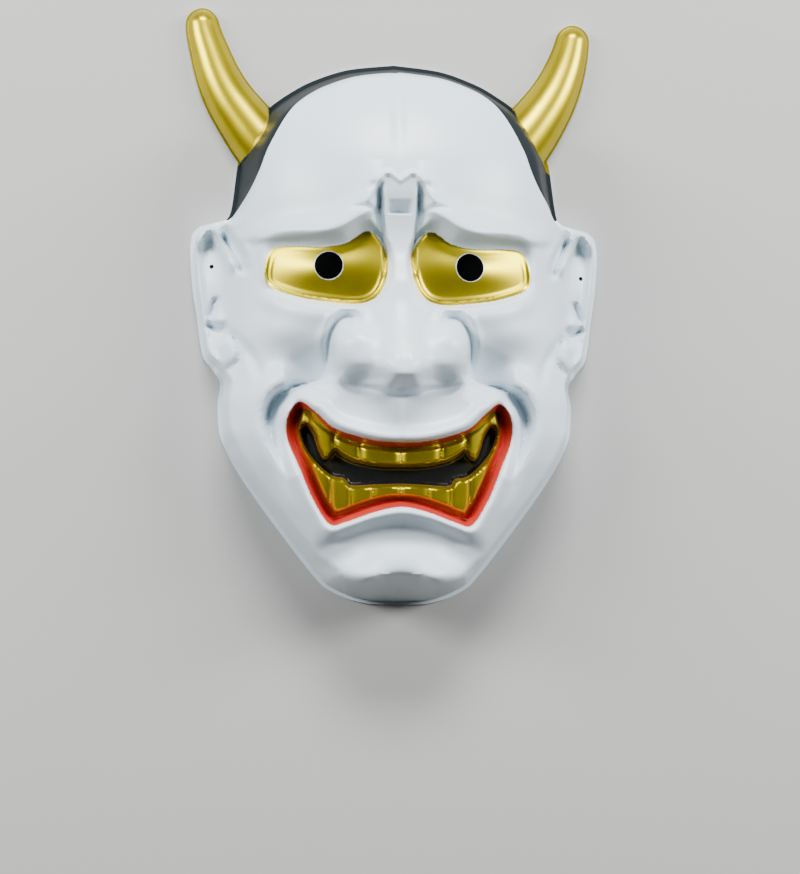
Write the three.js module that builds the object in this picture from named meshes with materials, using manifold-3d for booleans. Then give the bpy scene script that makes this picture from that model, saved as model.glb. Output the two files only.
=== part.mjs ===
// Hannya mask: one vacuum-formed sheet with a hollow back, two half-round horns,
// pierced pupils and a tie hole in each ear. Millimetres, +Z out of the face.
// It lies face up on the flat flange round its edge: +X is the viewer's right, +Y the crown.
import * as THREE from 'three';
import { mergeVertices } from 'three/addons/utils/BufferGeometryUtils.js';
import Module from 'manifold-3d';

// Overall sizes of the face, horns left out
const earToEar = 186.4;
const chinToCrown = 247.1;
const noseDepth = 84;

// The sheet and its trimmed edge
const wall = 1.0;
const flangeWidth = 1.6;
const flangeThickness = 1.2;

// Pierced holes
const eyeHoleDiameter = 12.3;
const tieHoleDiameter = 2.0;

// Horns: half width of the edge inside the head and at the tip, and height of the round in half widths
const hornRootRadius = 15.5;
const hornTipRadius = 6.9;
const hornRise = 1.05;
const bluntTip = 0.4;

// Fineness of the facets, and how the grid settles
const columns = 40;
const rows = 48;
const hornRings = 9;
const hornArcSteps = 6;
const holeSides = 20;
const tieHoleSides = 10;
const relaxPasses = 160;
const relaxStep = 1.6;
const flangeClearance = 1.4;
const farInside = 100;
const narrowest = 2.4;
const facetBlur = 1.8;
const meanPull = 0.2;
const steadying = 0.05;
const longestMiter = 1.7;

// The carving is drawn on a face of this size and stretched to the sizes above
const drawnWidth = 186.4;
const drawnHeight = 247.1;
const drawnDepth = 84;
const stretch = new THREE.Vector3(earToEar / drawnWidth, chinToCrown / drawnHeight, noseDepth / drawnDepth);

// Outline: half width of the edge by height, between the jaw corner and the horn
const sideEdge = [
  [-108.5, 62.7], [-97.5, 70.2], [-86.6, 76.4], [-75.6, 80.4], [-64.6, 80.9], [-54.5, 79.6], [-48.6, 83.0],
  [-42.5, 87.4], [-37.2, 88.6], [-26.2, 90.0], [-10, 92.3], [5.8, 93.2], [12.8, 92.3], [16.8, 88.8],
  [18.5, 82.4], [20.8, 76.2], [24.5, 74.6], [38, 72.6], [46, 71.5], [56, 68], [65.5, 62.7],
];
// Outline: height of the lower and upper edge by half width
const chinEdge = [[0, -154.5], [11, -154.2], [21.5, -152], [32.4, -146.8], [37.7, -141.3], [46.4, -130.4],
  [54.6, -119.5], [62.7, -108.5]];
const crownEdge = [[0, 92.6], [19.5, 90.4], [37.5, 84.5], [49, 78], [57, 72], [62.7, 65.5]];

// Head without ears: half width and middle height of the dome by height
const headHalf = [
  [-154.5, 12], [-152.3, 23], [-146.8, 32.4], [-130.4, 46.4], [-108.5, 62.7], [-97.5, 70.2], [-86.6, 76.4],
  [-75.6, 79.6], [-64, 79.8], [-54, 78], [-40, 75.5], [-20, 74], [0, 73.5], [20, 74], [38, 72.6], [56, 68],
  [72.5, 57], [78.2, 49], [84.7, 37.5], [93, 10],
];
const middleHeight = [
  [-154.5, 44], [-146, 52], [-139, 57.5], [-130, 58], [-118, 57.5], [-108, 59], [-90, 60.5], [-50, 61.5],
  [-30, 63], [-10, 64.5], [10, 66], [25, 66.5], [40, 65], [54, 60.8], [66, 55], [76, 48], [84, 40.5],
  [93, 29],
];
const domeOverhang = 1.06;
const domePower = 2.25;
const wallSlope = [[-154, 4.3], [-143, 4.6], [-130, 6.5], [-60, 8], [20, 6], [35, 4.5], [93, 4.3]];

// Carved lines of one half of the face, as half width and height
const eyeEdge = [[57.8, -6.3], [56.6, -13.1], [47.3, -17.3], [35.1, -20], [17.5, -21.4], [9.2, -16.7],
  [5.7, -5.5], [7.8, 3.7], [14, 9.1], [22.9, 3.9], [33.9, 2.1], [47.2, 2.8], [54.9, 1.5]];
const browEdge = [[7.5, 40], [8.6, 29], [11.5, 18.5], [18.8, 13.5], [24.9, 10.2], [31.4, 8.2], [40.1, 7],
  [51.2, 6.6], [62, 6.8], [71, 8.5]];
const frownCrease = [[8.3, 30], [8.9, 22], [8.7, 15.4], [7.2, 5.6], [5.5, -3]];
const wingCrease = [[20.5, -27.5], [24.5, -29.5], [28.6, -33], [31, -39], [31, -45], [28.6, -51.5],
  [24, -56]];
const smileFold = [[31, -51.5], [37.5, -55.2], [47.5, -56.6], [56, -61.8], [59.3, -70.7], [57.7, -80.6],
  [54, -89.9], [49, -99]];
const jawFold = [[55, -95], [47.5, -110], [38, -124]];
const chinHollow = [[0, -120], [10, -120.6], [20, -123.2], [31, -128.5], [38, -134]];
const lipLow = [[44.1, -64.7], [49, -71.1], [49.2, -80.8], [44, -93.6], [38.6, -106.7], [31.3, -118],
  [24, -117], [11.9, -112.7], [0, -110.3]];
const lipHigh = [[0, -82.3], [10.8, -81.7], [21.7, -79.1], [30, -75.7], [37.6, -68.8]];
const teethLow = [[43.2, -67.6], [44.8, -73], [44.8, -79], [42.3, -87], [38.5, -97.5], [33.5, -108],
  [29, -113.8], [25, -113.2], [18.5, -110.5], [8, -107.4], [0, -106.8]];
const teethHigh = [[0, -84.6], [6.5, -84.2], [15.2, -82.9], [21.7, -81.3], [28.5, -78.4], [33.5, -74],
  [38.3, -69]];
const gapLow = [[41.2, -74.8], [43, -77], [42.5, -81], [40.7, -85.4], [37.2, -90.2], [32.8, -94.5],
  [28.9, -97.1], [24.3, -98], [21.4, -101], [11, -100.6], [0, -100.2]];
const gapHigh = [[0, -92.6], [11, -92.3], [20.3, -90.3], [25.8, -87.5], [28.4, -85.7], [30, -87.9],
  [33, -89.5], [35.5, -85.3], [37.3, -79.6], [39, -76.5]];
const earFold = [[87, 12], [80, 4], [73, -6]];
const earCleft = [[77, 14], [71.5, 5.5], [69, -1], [73, -8]];
const earNotch = [[87, -27], [82, -29.5], [76, -31]];

// Places pierced through the sheet
const eyeCentre = [30.9, -5.3];
const tieHoleLeft = [-83.5, -2.1];
const tieHoleRight = [84.7, -5];

// Horn centre lines from the root inside the head to the tip
const leftHornLine = [[-53, 47.5], [-62, 56.5], [-69.7, 66.2], [-76.4, 75.7], [-81.3, 85.3], [-85.3, 96.2],
  [-88.6, 107.2], [-89.7, 117.1]];
const rightHornLine = [[53, 52], [61.5, 62.5], [68.2, 72], [73, 80.2], [76.7, 88.7], [79.4, 97],
  [81.3, 106], [82.1, 112.9]];

const wasm = await Module();
wasm.setup();

function smooth(start, end, value) {
  const t = Math.min(Math.max((value - start) / (end - start), 0), 1);
  return t * t * (3 - 2 * t);
}

function roundMax(a, b, blend) {
  const near = Math.max(blend - Math.abs(a - b), 0);
  return Math.max(a, b) + (blend > 0 ? (near * near) / (4 * blend) : 0);
}

function roundMin(a, b, blend) {
  return -roundMax(-a, -b, blend);
}

function hill(distance, width) {
  return Math.exp(-((distance / width) ** 2));
}

function mound(x, y, centreX, centreY, radiusX, radiusY) {
  return Math.exp(-(((x - centreX) / radiusX) ** 2) - ((y - centreY) / radiusY) ** 2);
}

// Smooth curve through [place, value] pairs that never overshoots them
function table(place, knots) {
  const last = knots.length - 1;
  const at = Math.min(Math.max(place, knots[0][0]), knots[last][0]);
  let i = 0;
  while (i < last - 1 && at > knots[i + 1][0]) {
    i += 1;
  }
  const rate = (k) => (knots[k + 1][1] - knots[k][1]) / (knots[k + 1][0] - knots[k][0]);
  const slope = (k) => {
    if (k === 0) return rate(0);
    if (k === last) return rate(last - 1);
    const before = rate(k - 1);
    const after = rate(k);
    return before * after <= 0 ? 0 : (2 * before * after) / (before + after);
  };
  const span = knots[i + 1][0] - knots[i][0];
  const t = (at - knots[i][0]) / span;
  const rest = 1 - t;
  return (1 + 2 * t) * rest * rest * knots[i][1] + t * rest * rest * span * slope(i)
    + t * t * (3 - 2 * t) * knots[i + 1][1] - t * t * rest * span * slope(i + 1);
}

// Polyline through the points of a carved line
function traced(points, closed = false) {
  const curve = new THREE.CatmullRomCurve3(points.map(([x, y]) => new THREE.Vector3(x, y, 0)), closed);
  return curve.getPoints(points.length * 5).map((point) => [point.x, point.y]);
}

// Loop of a mouth line: the lower part and the upper part, each mirrored about the middle
function mouthLoop(low, high) {
  const flip = (points) => points.map(([x, y]) => [-x, y]).reverse();
  return traced([...low, ...flip(low).slice(1), ...flip(high).slice(0, -1), ...high], true);
}

// Distance to a polyline, share of its length passed, nearest point, and side: 1 to the left of its travel
function along(x, y, line) {
  let best = { distance: Infinity, share: 0, side: 1 };
  for (let i = 0; i < line.length - 1; i += 1) {
    const [startX, startY] = line[i];
    const runX = line[i + 1][0] - startX;
    const runY = line[i + 1][1] - startY;
    const square = runX * runX + runY * runY;
    if (square === 0) continue;
    const t = Math.min(Math.max(((x - startX) * runX + (y - startY) * runY) / square, 0), 1);
    const offX = x - startX - t * runX;
    const offY = y - startY - t * runY;
    const distance = Math.hypot(offX, offY);
    if (distance < best.distance) {
      const side = runX * offY - runY * offX < 0 ? -1 : 1;
      best = { distance, share: (i + t) / (line.length - 1), side, nearest: [x - offX, y - offY] };
    }
  }
  return best;
}

// Signed distance to a closed loop, negative inside
function signed(x, y, loop) {
  let inside = false;
  for (let i = 0; i < loop.length - 1; i += 1) {
    const [startX, startY] = loop[i];
    const [endX, endY] = loop[i + 1];
    if (startY > y !== endY > y && x < ((endX - startX) * (y - startY)) / (endY - startY) + startX) {
      inside = !inside;
    }
  }
  const { distance } = along(x, y, loop);
  return inside ? -distance : distance;
}

const lines = {
  eye: traced(eyeEdge, true),
  brow: traced(browEdge),
  frown: traced(frownCrease),
  wing: traced(wingCrease),
  smile: traced(smileFold),
  jaw: traced(jawFold),
  chin: traced(chinHollow),
  lip: mouthLoop(lipLow, lipHigh),
  teeth: mouthLoop(teethLow, teethHigh),
  gap: mouthLoop(gapLow, gapHigh),
  earFold: traced(earFold),
  earCleft: traced(earCleft),
  earNotch: traced(earNotch),
};

// The middle of the features and the middle of the outline lean a little, as on the real sheet
function featureMiddle(y) {
  return -1.6 - 0.017 * y;
}

function outlineMiddle(y) {
  return -0.1 - 0.0125 * y;
}

function dome(y, fromMiddle) {
  const share = Math.min(fromMiddle / (table(y, headHalf) * domeOverhang), 1);
  return table(y, middleHeight) * Math.sqrt(1 - share ** domePower);
}

function brow(half, y) {
  const { distance, share, side } = along(half, y, lines.brow);
  const above = side * distance;
  const rise = table(share, [[0, 0], [0.14, 1.4], [0.28, 3.4], [0.5, 3.2], [0.75, 2.4], [1, 0.4]]);
  return rise * hill(Math.max(above, 0) - 1.5, 6) * smooth(-2.5, 1, above) * smooth(74, 64, half);
}

// The eyeball sinks into the socket, inside a raised rim with a bag below it
function eye(half, y, height) {
  const edge = signed(half, y, lines.eye);
  const ball = 57.6 - 0.105 * half - 0.0024 * half * half + 3.8 * mound(half, y, 31, -6.5, 20, 10);
  const reach = 3.6 + 3.2 * smooth(-8, 4, y) * smooth(8, 14, half);
  const sunk = height + (ball - height) * (1 - smooth(0, reach, edge));
  const rim = 1.3 * hill(edge - 0.6, narrowest) * (0.35 + 0.65 * smooth(6, -4, y));
  const belowEye = smooth(-10, -20, y) * smooth(10, 22, half) * smooth(66, 54, half);
  const bag = 2.2 * hill(edge - 6.5, 4.5) * belowEye;
  return sunk + rim + bag;
}

function frown(half, y) {
  const { distance, share } = along(half, y, lines.frown);
  const depth = table(share, [[0, 0], [0.2, 3.2], [0.6, 5], [1, 1.5]]);
  return 1.6 * mound(half, y, 0, 14, 5.5, 16) - depth * hill(distance, narrowest);
}

function nose(half, y) {
  const rise = table(y, [[-68, 0], [-64, 1], [-60.5, 9], [-57, 17.5], [-53, 21.5], [-48, 20.5], [-40, 15],
    [-30, 8.2], [-20, 3.6], [-8, 1.8], [10, 0]]);
  const width = table(y, [[-66, 18], [-54, 18.5], [-45, 17.5], [-35, 14.5], [-22, 9.5], [-8, 6.5],
    [8, 5.5]]);
  const bridge = rise * Math.exp(-((half / width) ** 2.2));
  const wing = 12.5 * Math.exp(-(Math.hypot((half - 19.5) / 12.5, (y + 43.5) / 12) ** 3));
  const underside = table(half, [[0, -61.5], [6, -60.5], [12, -58.2], [20, -57.5], [26, -55], [32, -50]]);
  const body = roundMax(bridge, wing, Math.min(9, bridge + wing)) * smooth(-2.5, 2, y - underside);
  const { distance, share } = along(half, y, lines.wing);
  const crease = table(share, [[0, 0], [0.3, 3.2], [0.75, 4], [1, 0]]) * hill(distance, 2.8);
  return body - crease - 5 * mound(half, y, 18.5, -56.2, 6.5, 2.6);
}

function cheek(half, y) {
  const { distance, share, side } = along(half, y, lines.smile);
  const within = -side * distance;
  const depth = table(share, [[0, 0], [0.12, 5], [0.45, 9.5], [0.75, 6.5], [1, 0]]);
  const fold = smooth(-2, 2.6, within) * (1 - smooth(3.5, 12.5, within)) - 0.22 * hill(within + 4.5, 4);
  const jaw = along(half, y, lines.jaw);
  const flap = table(jaw.share, [[0, 0], [0.5, 1.8], [1, 0.5]]) * hill(jaw.distance, 3);
  const bone = 3.4 * mound(half, y, 52, -33, 13, 9);
  const hollow = 8.5 * mound(half, y, 41, -46.5, 9.5, 7);
  return bone - hollow - depth * fold + flap;
}

// Lip ridge, red inner wall, two rows of teeth and the closed dark gap between them
function mouth(x, y) {
  const lip = signed(x, y, lines.lip);
  const teeth = signed(x, y, lines.teeth);
  const gap = signed(x, y, lines.gap);
  const ridge = 3.6 * hill(lip - 2.6, 3.4) * smooth(-1.2, 1.6, lip);
  const crowns = 2.2 * smooth(-0.3, -3, teeth) * smooth(0.2, 3, gap);
  return ridge - 6 * smooth(0.6, -3.6, lip) + crowns - 4.5 * smooth(0.8, -1.6, gap);
}

function chin(half, y) {
  const { distance, share } = along(half, y, lines.chin);
  const hollow = table(share, [[0, 7.5], [0.6, 6.5], [1, 0]]) * hill(distance, 5.2);
  return 2 * mound(half, y, 13, -136, 11, 6.5) - 9 * mound(half, y, 0, -148.5, 11, 7) - hollow;
}

// Ear plate with its rolled rim, inner fold, cleft, notch and lobe
function ear(half, y, edge) {
  const fold = along(half, y, lines.earFold);
  const notch = along(half, y, lines.earNotch);
  const lobe = 3.6 * Math.exp(-(Math.hypot((half - 79.5) / 7.5, (y + 40) / 6) ** 3));
  const rolled = 2.6 * hill(edge - 4.2, 2.2) + 2.4 * hill(fold.distance, 2.4);
  const dished = 3 * mound(half, y, 83.5, -2, 5, 9) + 2.2 * hill(notch.distance, 2.2);
  const level = 7.5 + 7 * smooth(86, 70, half) + rolled - dished + mound(half, y, 81, -22, 5, 7) + lobe;
  return roundMin(level, flangeThickness + 7 * Math.max(edge - flangeWidth, 0), 1);
}

// Height of the front over the flange plane, at a drawn place and its distance inside the edge
function height(x, y, edge) {
  const fromFeatures = x - featureMiddle(y);
  const half = Math.abs(fromFeatures);
  const outer = Math.abs(x - outlineMiddle(y));
  let z = dome(y, outer) + brow(half, y);
  z -= 1.2 * hill(fromFeatures, 3) * smooth(36, 60, y);
  z = eye(half, y, z) + frown(half, y) + nose(half, y);
  z += cheek(half, y) + mouth(fromFeatures, y) + chin(half, y);
  z = roundMin(z, flangeThickness + table(y, wallSlope) * Math.max(edge - flangeWidth, 0), 4);
  const zone = smooth(24, 17, y) * smooth(-58, -50, y);
  z = roundMax(z, ear(outer, y, edge) * zone, 7 * zone);
  z -= 2.2 * hill(along(outer, y, lines.earCleft).distance, 2.2) * zone;
  return Math.max(z, flangeThickness);
}

// Mean height round a place, so that forms narrower than a facet fade instead of breaking up
function facetHeight(x, y, edge) {
  const reach = facetBlur * smooth(flangeWidth, flangeWidth + 3 * facetBlur, edge);
  const ring = [[1, 0], [0.7, 0.7], [0, 1], [-0.7, 0.7], [-1, 0], [-0.7, -0.7], [0, -1], [0.7, -0.7]];
  const sum = ring.reduce((total, [dx, dy]) => total + height(x + dx * reach, y + dy * reach, edge), 0);
  return (sum + 4 * height(x, y, edge)) / 12;
}

// Line places from 0 to 1, closer together where the weight is larger
function spread(count, weight) {
  const steps = 2000;
  const sums = [0];
  for (let i = 0; i < steps; i += 1) {
    sums.push(sums[i] + weight((i + 0.5) / steps));
  }
  const places = [];
  let i = 0;
  for (let k = 0; k <= count; k += 1) {
    const target = (sums[steps] * k) / count;
    while (i < steps - 1 && sums[i + 1] < target) {
      i += 1;
    }
    places.push((i + (target - sums[i]) / (sums[i + 1] - sums[i])) / steps);
  }
  return places;
}

// Real place of a grid point: across from -1 to 1, up from 0 to 1
function place(across, up) {
  const sideY = THREE.MathUtils.lerp(sideEdge[0][0], sideEdge[sideEdge.length - 1][0], up);
  const corner = sideEdge[0][1];
  const low = table(Math.abs(across) * corner, chinEdge);
  const high = table(Math.abs(across) * corner, crownEdge);
  const y = THREE.MathUtils.lerp(low, high, up);
  return new THREE.Vector2((across * table(sideY, sideEdge) + outlineMiddle(y)) * stretch.x, y * stretch.y);
}

// Indices of the grid's border, anticlockwise from the lower left
function border(last, top) {
  const loop = [];
  for (let i = 0; i < last; i += 1) loop.push([i, 0]);
  for (let j = 0; j < top; j += 1) loop.push([last, j]);
  for (let i = last; i > 0; i -= 1) loop.push([i, top]);
  for (let j = top; j > 0; j -= 1) loop.push([0, j]);
  return loop;
}

// Lets the inner points settle evenly between fixed outer lines, so that no cell folds over at a corner
function relax(grid, across, up) {
  const aspect = (chinToCrown / earToEar) * 2;
  for (let pass = 0; pass < relaxPasses; pass += 1) {
    for (let i = 2; i < grid.length - 2; i += 1) {
      const spanX = across[i + 1] - across[i - 1];
      const west = 1 / ((across[i] - across[i - 1]) * spanX);
      const east = 1 / ((across[i + 1] - across[i]) * spanX);
      for (let j = 2; j < grid[i].length - 2; j += 1) {
        const spanY = (up[j + 1] - up[j - 1]) * aspect * aspect;
        const south = 1 / ((up[j] - up[j - 1]) * spanY);
        const north = 1 / ((up[j + 1] - up[j]) * spanY);
        const mean = new THREE.Vector2()
          .addScaledVector(grid[i - 1][j], west)
          .addScaledVector(grid[i + 1][j], east)
          .addScaledVector(grid[i][j - 1], south)
          .addScaledVector(grid[i][j + 1], north)
          .divideScalar(west + east + south + north);
        grid[i][j].lerp(mean, relaxStep);
      }
    }
  }
}

// Keeps the inner points clear of the flange
function keepWithin(grid, edgeLoop) {
  const clear = flangeWidth + flangeClearance;
  grid.slice(2, -2).forEach((column) => column.slice(2, -2).forEach((point) => {
    const within = -signed(point.x, point.y, edgeLoop);
    if (within < clear) {
      const [x, y] = along(point.x, point.y, edgeLoop).nearest;
      point.sub(new THREE.Vector2(x, y)).setLength(within < 0 ? -clear : clear).add(new THREE.Vector2(x, y));
    }
  }));
}

// Grid over the whole outline; its second lines run at the flange's width inside the edge
function faceGrid() {
  const half = spread(columns / 2, (t) => 0.8 + 0.5 * smooth(0.74, 0.64, t) + 0.4 * smooth(0.36, 0.44, t)
    * smooth(0.68, 0.62, t) + smooth(0.95, 1, t));
  const across = [...half.slice(1).map((value) => -value).reverse(), ...half];
  const ends = (t) => 1.2 * smooth(0.03, 0, t) + 1.2 * smooth(0.97, 1, t);
  const up = spread(rows, (t) => 1 + 0.5 * smooth(0.08, 0.12, t) * smooth(0.38, 0.34, t)
    + 0.3 * smooth(0.5, 0.54, t) * smooth(0.8, 0.76, t) - 0.5 * smooth(0.8, 0.86, t) + ends(t));
  const grid = across.map((s) => up.map((t) => place(s, t)));
  const loop = border(columns, rows);
  const edge = loop.map(([i, j]) => grid[i][j].clone());
  loop.forEach(([i, j], k) => {
    const run = edge[(k + 1) % edge.length].clone().sub(edge.at(k - 1)).normalize();
    const innerI = THREE.MathUtils.clamp(i, 1, columns - 1);
    const innerJ = THREE.MathUtils.clamp(j, 1, rows - 1);
    const corner = innerI !== i && innerJ !== j;
    const cornerCell = (innerI === 1 || innerI === columns - 1) && (innerJ === 1 || innerJ === rows - 1);
    if (corner || !cornerCell) {
      grid[innerI][innerJ].set(-run.y, run.x).multiplyScalar(flangeWidth).add(edge[k]);
    }
  });
  const edgeLoop = [...edge, edge[0]].map((point) => [point.x, point.y]);
  relax(grid, across, up);
  keepWithin(grid, edgeLoop);
  return grid.map((column) => column.map((point) => {
    const within = Math.max(-signed(point.x, point.y, edgeLoop), 0);
    return new THREE.Vector3(point.x, point.y, realHeight(point.x, point.y, within));
  }));
}

// Height at a real place: the carving stretches with the sizes, and the flange keeps its thickness
function realHeight(x, y, edge) {
  return flangeThickness + (facetHeight(x / stretch.x, y / stretch.y, edge) - flangeThickness) * stretch.z;
}

// Which way each cell of the grid is split: along the diagonal that lies nearer to the carved surface
function cellSplits(grid) {
  return grid.slice(0, -1).map((column, i) => column.slice(0, -1).map((start, j) => {
    const end = grid[i + 1][j + 1];
    const right = grid[i + 1][j];
    const above = grid[i][j + 1];
    const rising = start.clone().add(end).multiplyScalar(0.5);
    const falling = right.clone().add(above).multiplyScalar(0.5);
    const miss = (middle) => Math.abs(realHeight(middle.x, middle.y, cellEdge(i, j)) - middle.z);
    return miss(rising) <= miss(falling);
  }));
}

// Distance inside the outline that a cell's middle may be taken to have: on the flange or well clear of it
function cellEdge(i, j) {
  const onFlange = i === 0 || j === 0 || i === columns - 1 || j === rows - 1;
  return onFlange ? flangeWidth / 2 : farInside;
}

// Solid under a grid of points, down to a level
function slab(grid, splits, bottom) {
  const across = grid.length;
  const up = grid[0].length;
  const positions = [];
  grid.forEach((column) => column.forEach((point) => positions.push(point.x, point.y, point.z)));
  grid.forEach((column) => column.forEach((point) => positions.push(point.x, point.y, bottom)));
  const under = across * up;
  const index = (i, j) => i * up + j;
  const triangles = [];
  for (let i = 0; i < across - 1; i += 1) {
    for (let j = 0; j < up - 1; j += 1) {
      const [a, b, c, d] = [index(i, j), index(i + 1, j), index(i + 1, j + 1), index(i, j + 1)];
      const faces = splits[i][j] ? [a, b, c, a, c, d] : [a, b, d, b, c, d];
      triangles.push(...faces);
      for (let k = 0; k < 6; k += 3) {
        triangles.push(faces[k] + under, faces[k + 2] + under, faces[k + 1] + under);
      }
    }
  }
  const rim = border(across - 1, up - 1).map(([i, j]) => index(i, j));
  rim.forEach((a, k) => {
    const b = rim[(k + 1) % rim.length];
    triangles.push(a, a + under, b, b, a + under, b + under);
  });
  return solid(positions, triangles);
}

function solid(positions, triangles) {
  return new wasm.Manifold(new wasm.Mesh({
    numProp: 3,
    vertProperties: new Float32Array(positions),
    triVerts: new Uint32Array(triangles),
  }));
}

// The same grid one wall thickness behind the front: every point moves until it lies
// a wall behind each of the facets round it
function behind(grid) {
  const inner = grid.slice(1, -1).map((column) => column.slice(1, -1));
  return inner.map((column, i) => column.map((point, j) => {
    const ring = [[1, 0], [1, 1], [0, 1], [-1, 1], [-1, 0], [-1, -1], [0, -1], [1, -1]]
      .map(([di, dj]) => grid[i + 1 + di][j + 1 + dj]);
    const normals = ring.map((start, k) => {
      const first = start.clone().sub(point);
      const second = ring[(k + 1) % 8].clone().sub(point);
      return first.cross(second).normalize();
    });
    const mean = normals.reduce((sum, normal) => sum.add(normal), new THREE.Vector3()).normalize();
    const matrix = new THREE.Matrix3().set(0, 0, 0, 0, 0, 0, 0, 0, 0);
    const target = mean.clone().multiplyScalar(wall * meanPull);
    const e = matrix.elements;
    const add = (vector, weight) => {
      const v = vector.toArray();
      for (let r = 0; r < 3; r += 1) {
        for (let c = 0; c < 3; c += 1) {
          e[c * 3 + r] += weight * v[r] * v[c];
        }
      }
    };
    normals.forEach((normal) => {
      add(normal, 1);
      target.add(normal.clone().multiplyScalar(wall));
    });
    add(mean, meanPull);
    e[0] += steadying;
    e[4] += steadying;
    e[8] += steadying;
    const shift = target.applyMatrix3(matrix.invert());
    shift.clampLength(wall, wall * longestMiter);
    return point.clone().sub(shift);
  }));
}

// Stations of a horn from root to tip: place, direction across, and half width with its edge drawn in
function hornStations(line, inset) {
  const points = line.map(([x, y]) => new THREE.Vector3(x, y, 0).multiply(stretch));
  const curve = new THREE.CatmullRomCurve3(points);
  const total = curve.getLength();
  return Array.from({ length: hornRings + 1 }, (_, k) => {
    const left = (total - inset) * (1 - k / hornRings) ** 1.5;
    const share = 1 - (left + inset) / total;
    const run = curve.getTangentAt(share);
    const tip = Math.sqrt(1 - (1 - Math.min(left / (hornTipRadius - inset), 1)) ** 2);
    const half = (THREE.MathUtils.lerp(hornRootRadius, hornTipRadius, share) - inset) * tip;
    const side = new THREE.Vector3(run.y, -run.x, 0);
    return { centre: curve.getPointAt(share), side, half: Math.max(half, bluntTip) };
  });
}

// Half-round body of a horn, closed flat at a level
function hornBody(line, inset, bottom) {
  const positions = [];
  const triangles = [];
  const foot = bottom < 0 ? 2 : 0;
  const around = hornArcSteps + 1 + foot;
  hornStations(line, inset).forEach(({ centre, side, half }) => {
    for (let a = 0; a <= hornArcSteps; a += 1) {
      const angle = (a / hornArcSteps) * Math.PI;
      const point = centre.clone().addScaledVector(side, half * Math.cos(angle));
      positions.push(point.x, point.y, half * hornRise * Math.sin(angle));
    }
    if (foot) {
      const left = centre.clone().addScaledVector(side, -half);
      const right = centre.clone().addScaledVector(side, half);
      positions.push(left.x, left.y, bottom, right.x, right.y, bottom);
    }
  });
  for (let k = 0; k < hornRings; k += 1) {
    for (let a = 0; a < around; a += 1) {
      const near = k * around + a;
      const next = k * around + ((a + 1) % around);
      triangles.push(near, near + around, next + around, near, next + around, next);
    }
  }
  const last = hornRings * around;
  for (let a = 1; a < around - 1; a += 1) {
    triangles.push(0, a, a + 1, last, last + a + 1, last + a);
  }
  return solid(positions, triangles);
}

// Flat strip under a horn that makes its share of the flange
function hornFlange(line) {
  const stations = hornStations(line, 0);
  const right = stations.map(({ centre, side, half }) => centre.clone().addScaledVector(side, half));
  const left = stations.map(({ centre, side, half }) => centre.clone().addScaledVector(side, -half));
  const around = [...right, ...left.reverse()];
  const shape = new THREE.Shape(around.map((point) => new THREE.Vector2(point.x, point.y)));
  return merged(new THREE.ExtrudeGeometry(shape, { depth: flangeThickness, bevelEnabled: false }));
}

function merged(geometry) {
  geometry.deleteAttribute('normal');
  geometry.deleteAttribute('uv');
  const joined = mergeVertices(geometry, 1e-4);
  return solid(joined.attributes.position.array, joined.index.array);
}

// Round cutter along Z at a drawn place
function drill(diameter, sides, [x, y]) {
  const geometry = new THREE.CylinderGeometry(diameter / 2, diameter / 2, 3 * noseDepth, sides);
  geometry.rotateX(Math.PI / 2);
  geometry.translate(x * stretch.x, y * stretch.y, 0);
  return merged(geometry);
}

// The whole sheet: front forms joined, back forms and holes cut away
function maskSolid() {
  const front = faceGrid();
  const splits = cellSplits(front);
  const horns = [leftHornLine, rightHornLine];
  let sheet = slab(front, splits, 0);
  horns.forEach((line) => {
    sheet = sheet.add(hornFlange(line)).add(hornBody(line, flangeWidth, 0));
  });
  const innerSplits = splits.slice(1, -1).map((column) => column.slice(1, -1));
  let hollow = slab(behind(front), innerSplits, -noseDepth);
  horns.forEach((line) => {
    hollow = hollow.add(hornBody(line, flangeWidth + wall, -noseDepth));
  });
  sheet = sheet.subtract(hollow);
  const middle = featureMiddle(eyeCentre[1]);
  [-1, 1].forEach((side) => {
    sheet = sheet.subtract(drill(eyeHoleDiameter, holeSides, [middle + side * eyeCentre[0], eyeCentre[1]]));
  });
  [tieHoleLeft, tieHoleRight].forEach((centre) => {
    sheet = sheet.subtract(drill(tieHoleDiameter, tieHoleSides, centre));
  });
  return sheet;
}

const skin = maskSolid().getMesh();
const shell = new THREE.BufferGeometry();
shell.setAttribute('position', new THREE.BufferAttribute(skin.vertProperties, 3));
shell.setIndex(new THREE.BufferAttribute(skin.triVerts, 1));
shell.computeVertexNormals();

const whitePlastic = new THREE.MeshStandardMaterial({ color: 0xd6e5ec, roughness: 0.3, metalness: 0 });
const maskShell = new THREE.Mesh(shell, whitePlastic);
maskShell.name = 'mask_shell';

// The origin lies under the middle of the whole mask, on the plane it rests on
const box = new THREE.Box3().setFromBufferAttribute(shell.attributes.position);
const middle = box.getCenter(new THREE.Vector3());
maskShell.position.set(-middle.x, -middle.y, -box.min.z);

const mask = new THREE.Group();
mask.add(maskShell);

export default mask;
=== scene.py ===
"""Hannya mask of thin formed plastic, with sprayed gold, red and black paint.

The sheet is carved as one height field over the outline of the face. Its horns are swept along
their centre lines by Geometry Nodes. Sizes are in millimetres and become metres when a mesh is made.
"""

import logging
import math
from dataclasses import dataclass, field
from enum import Enum
from typing import Any, Sequence

import bmesh
import bpy
import numpy as np
from mathutils import Matrix, Vector
from mathutils.geometry import delaunay_2d_cdt


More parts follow.
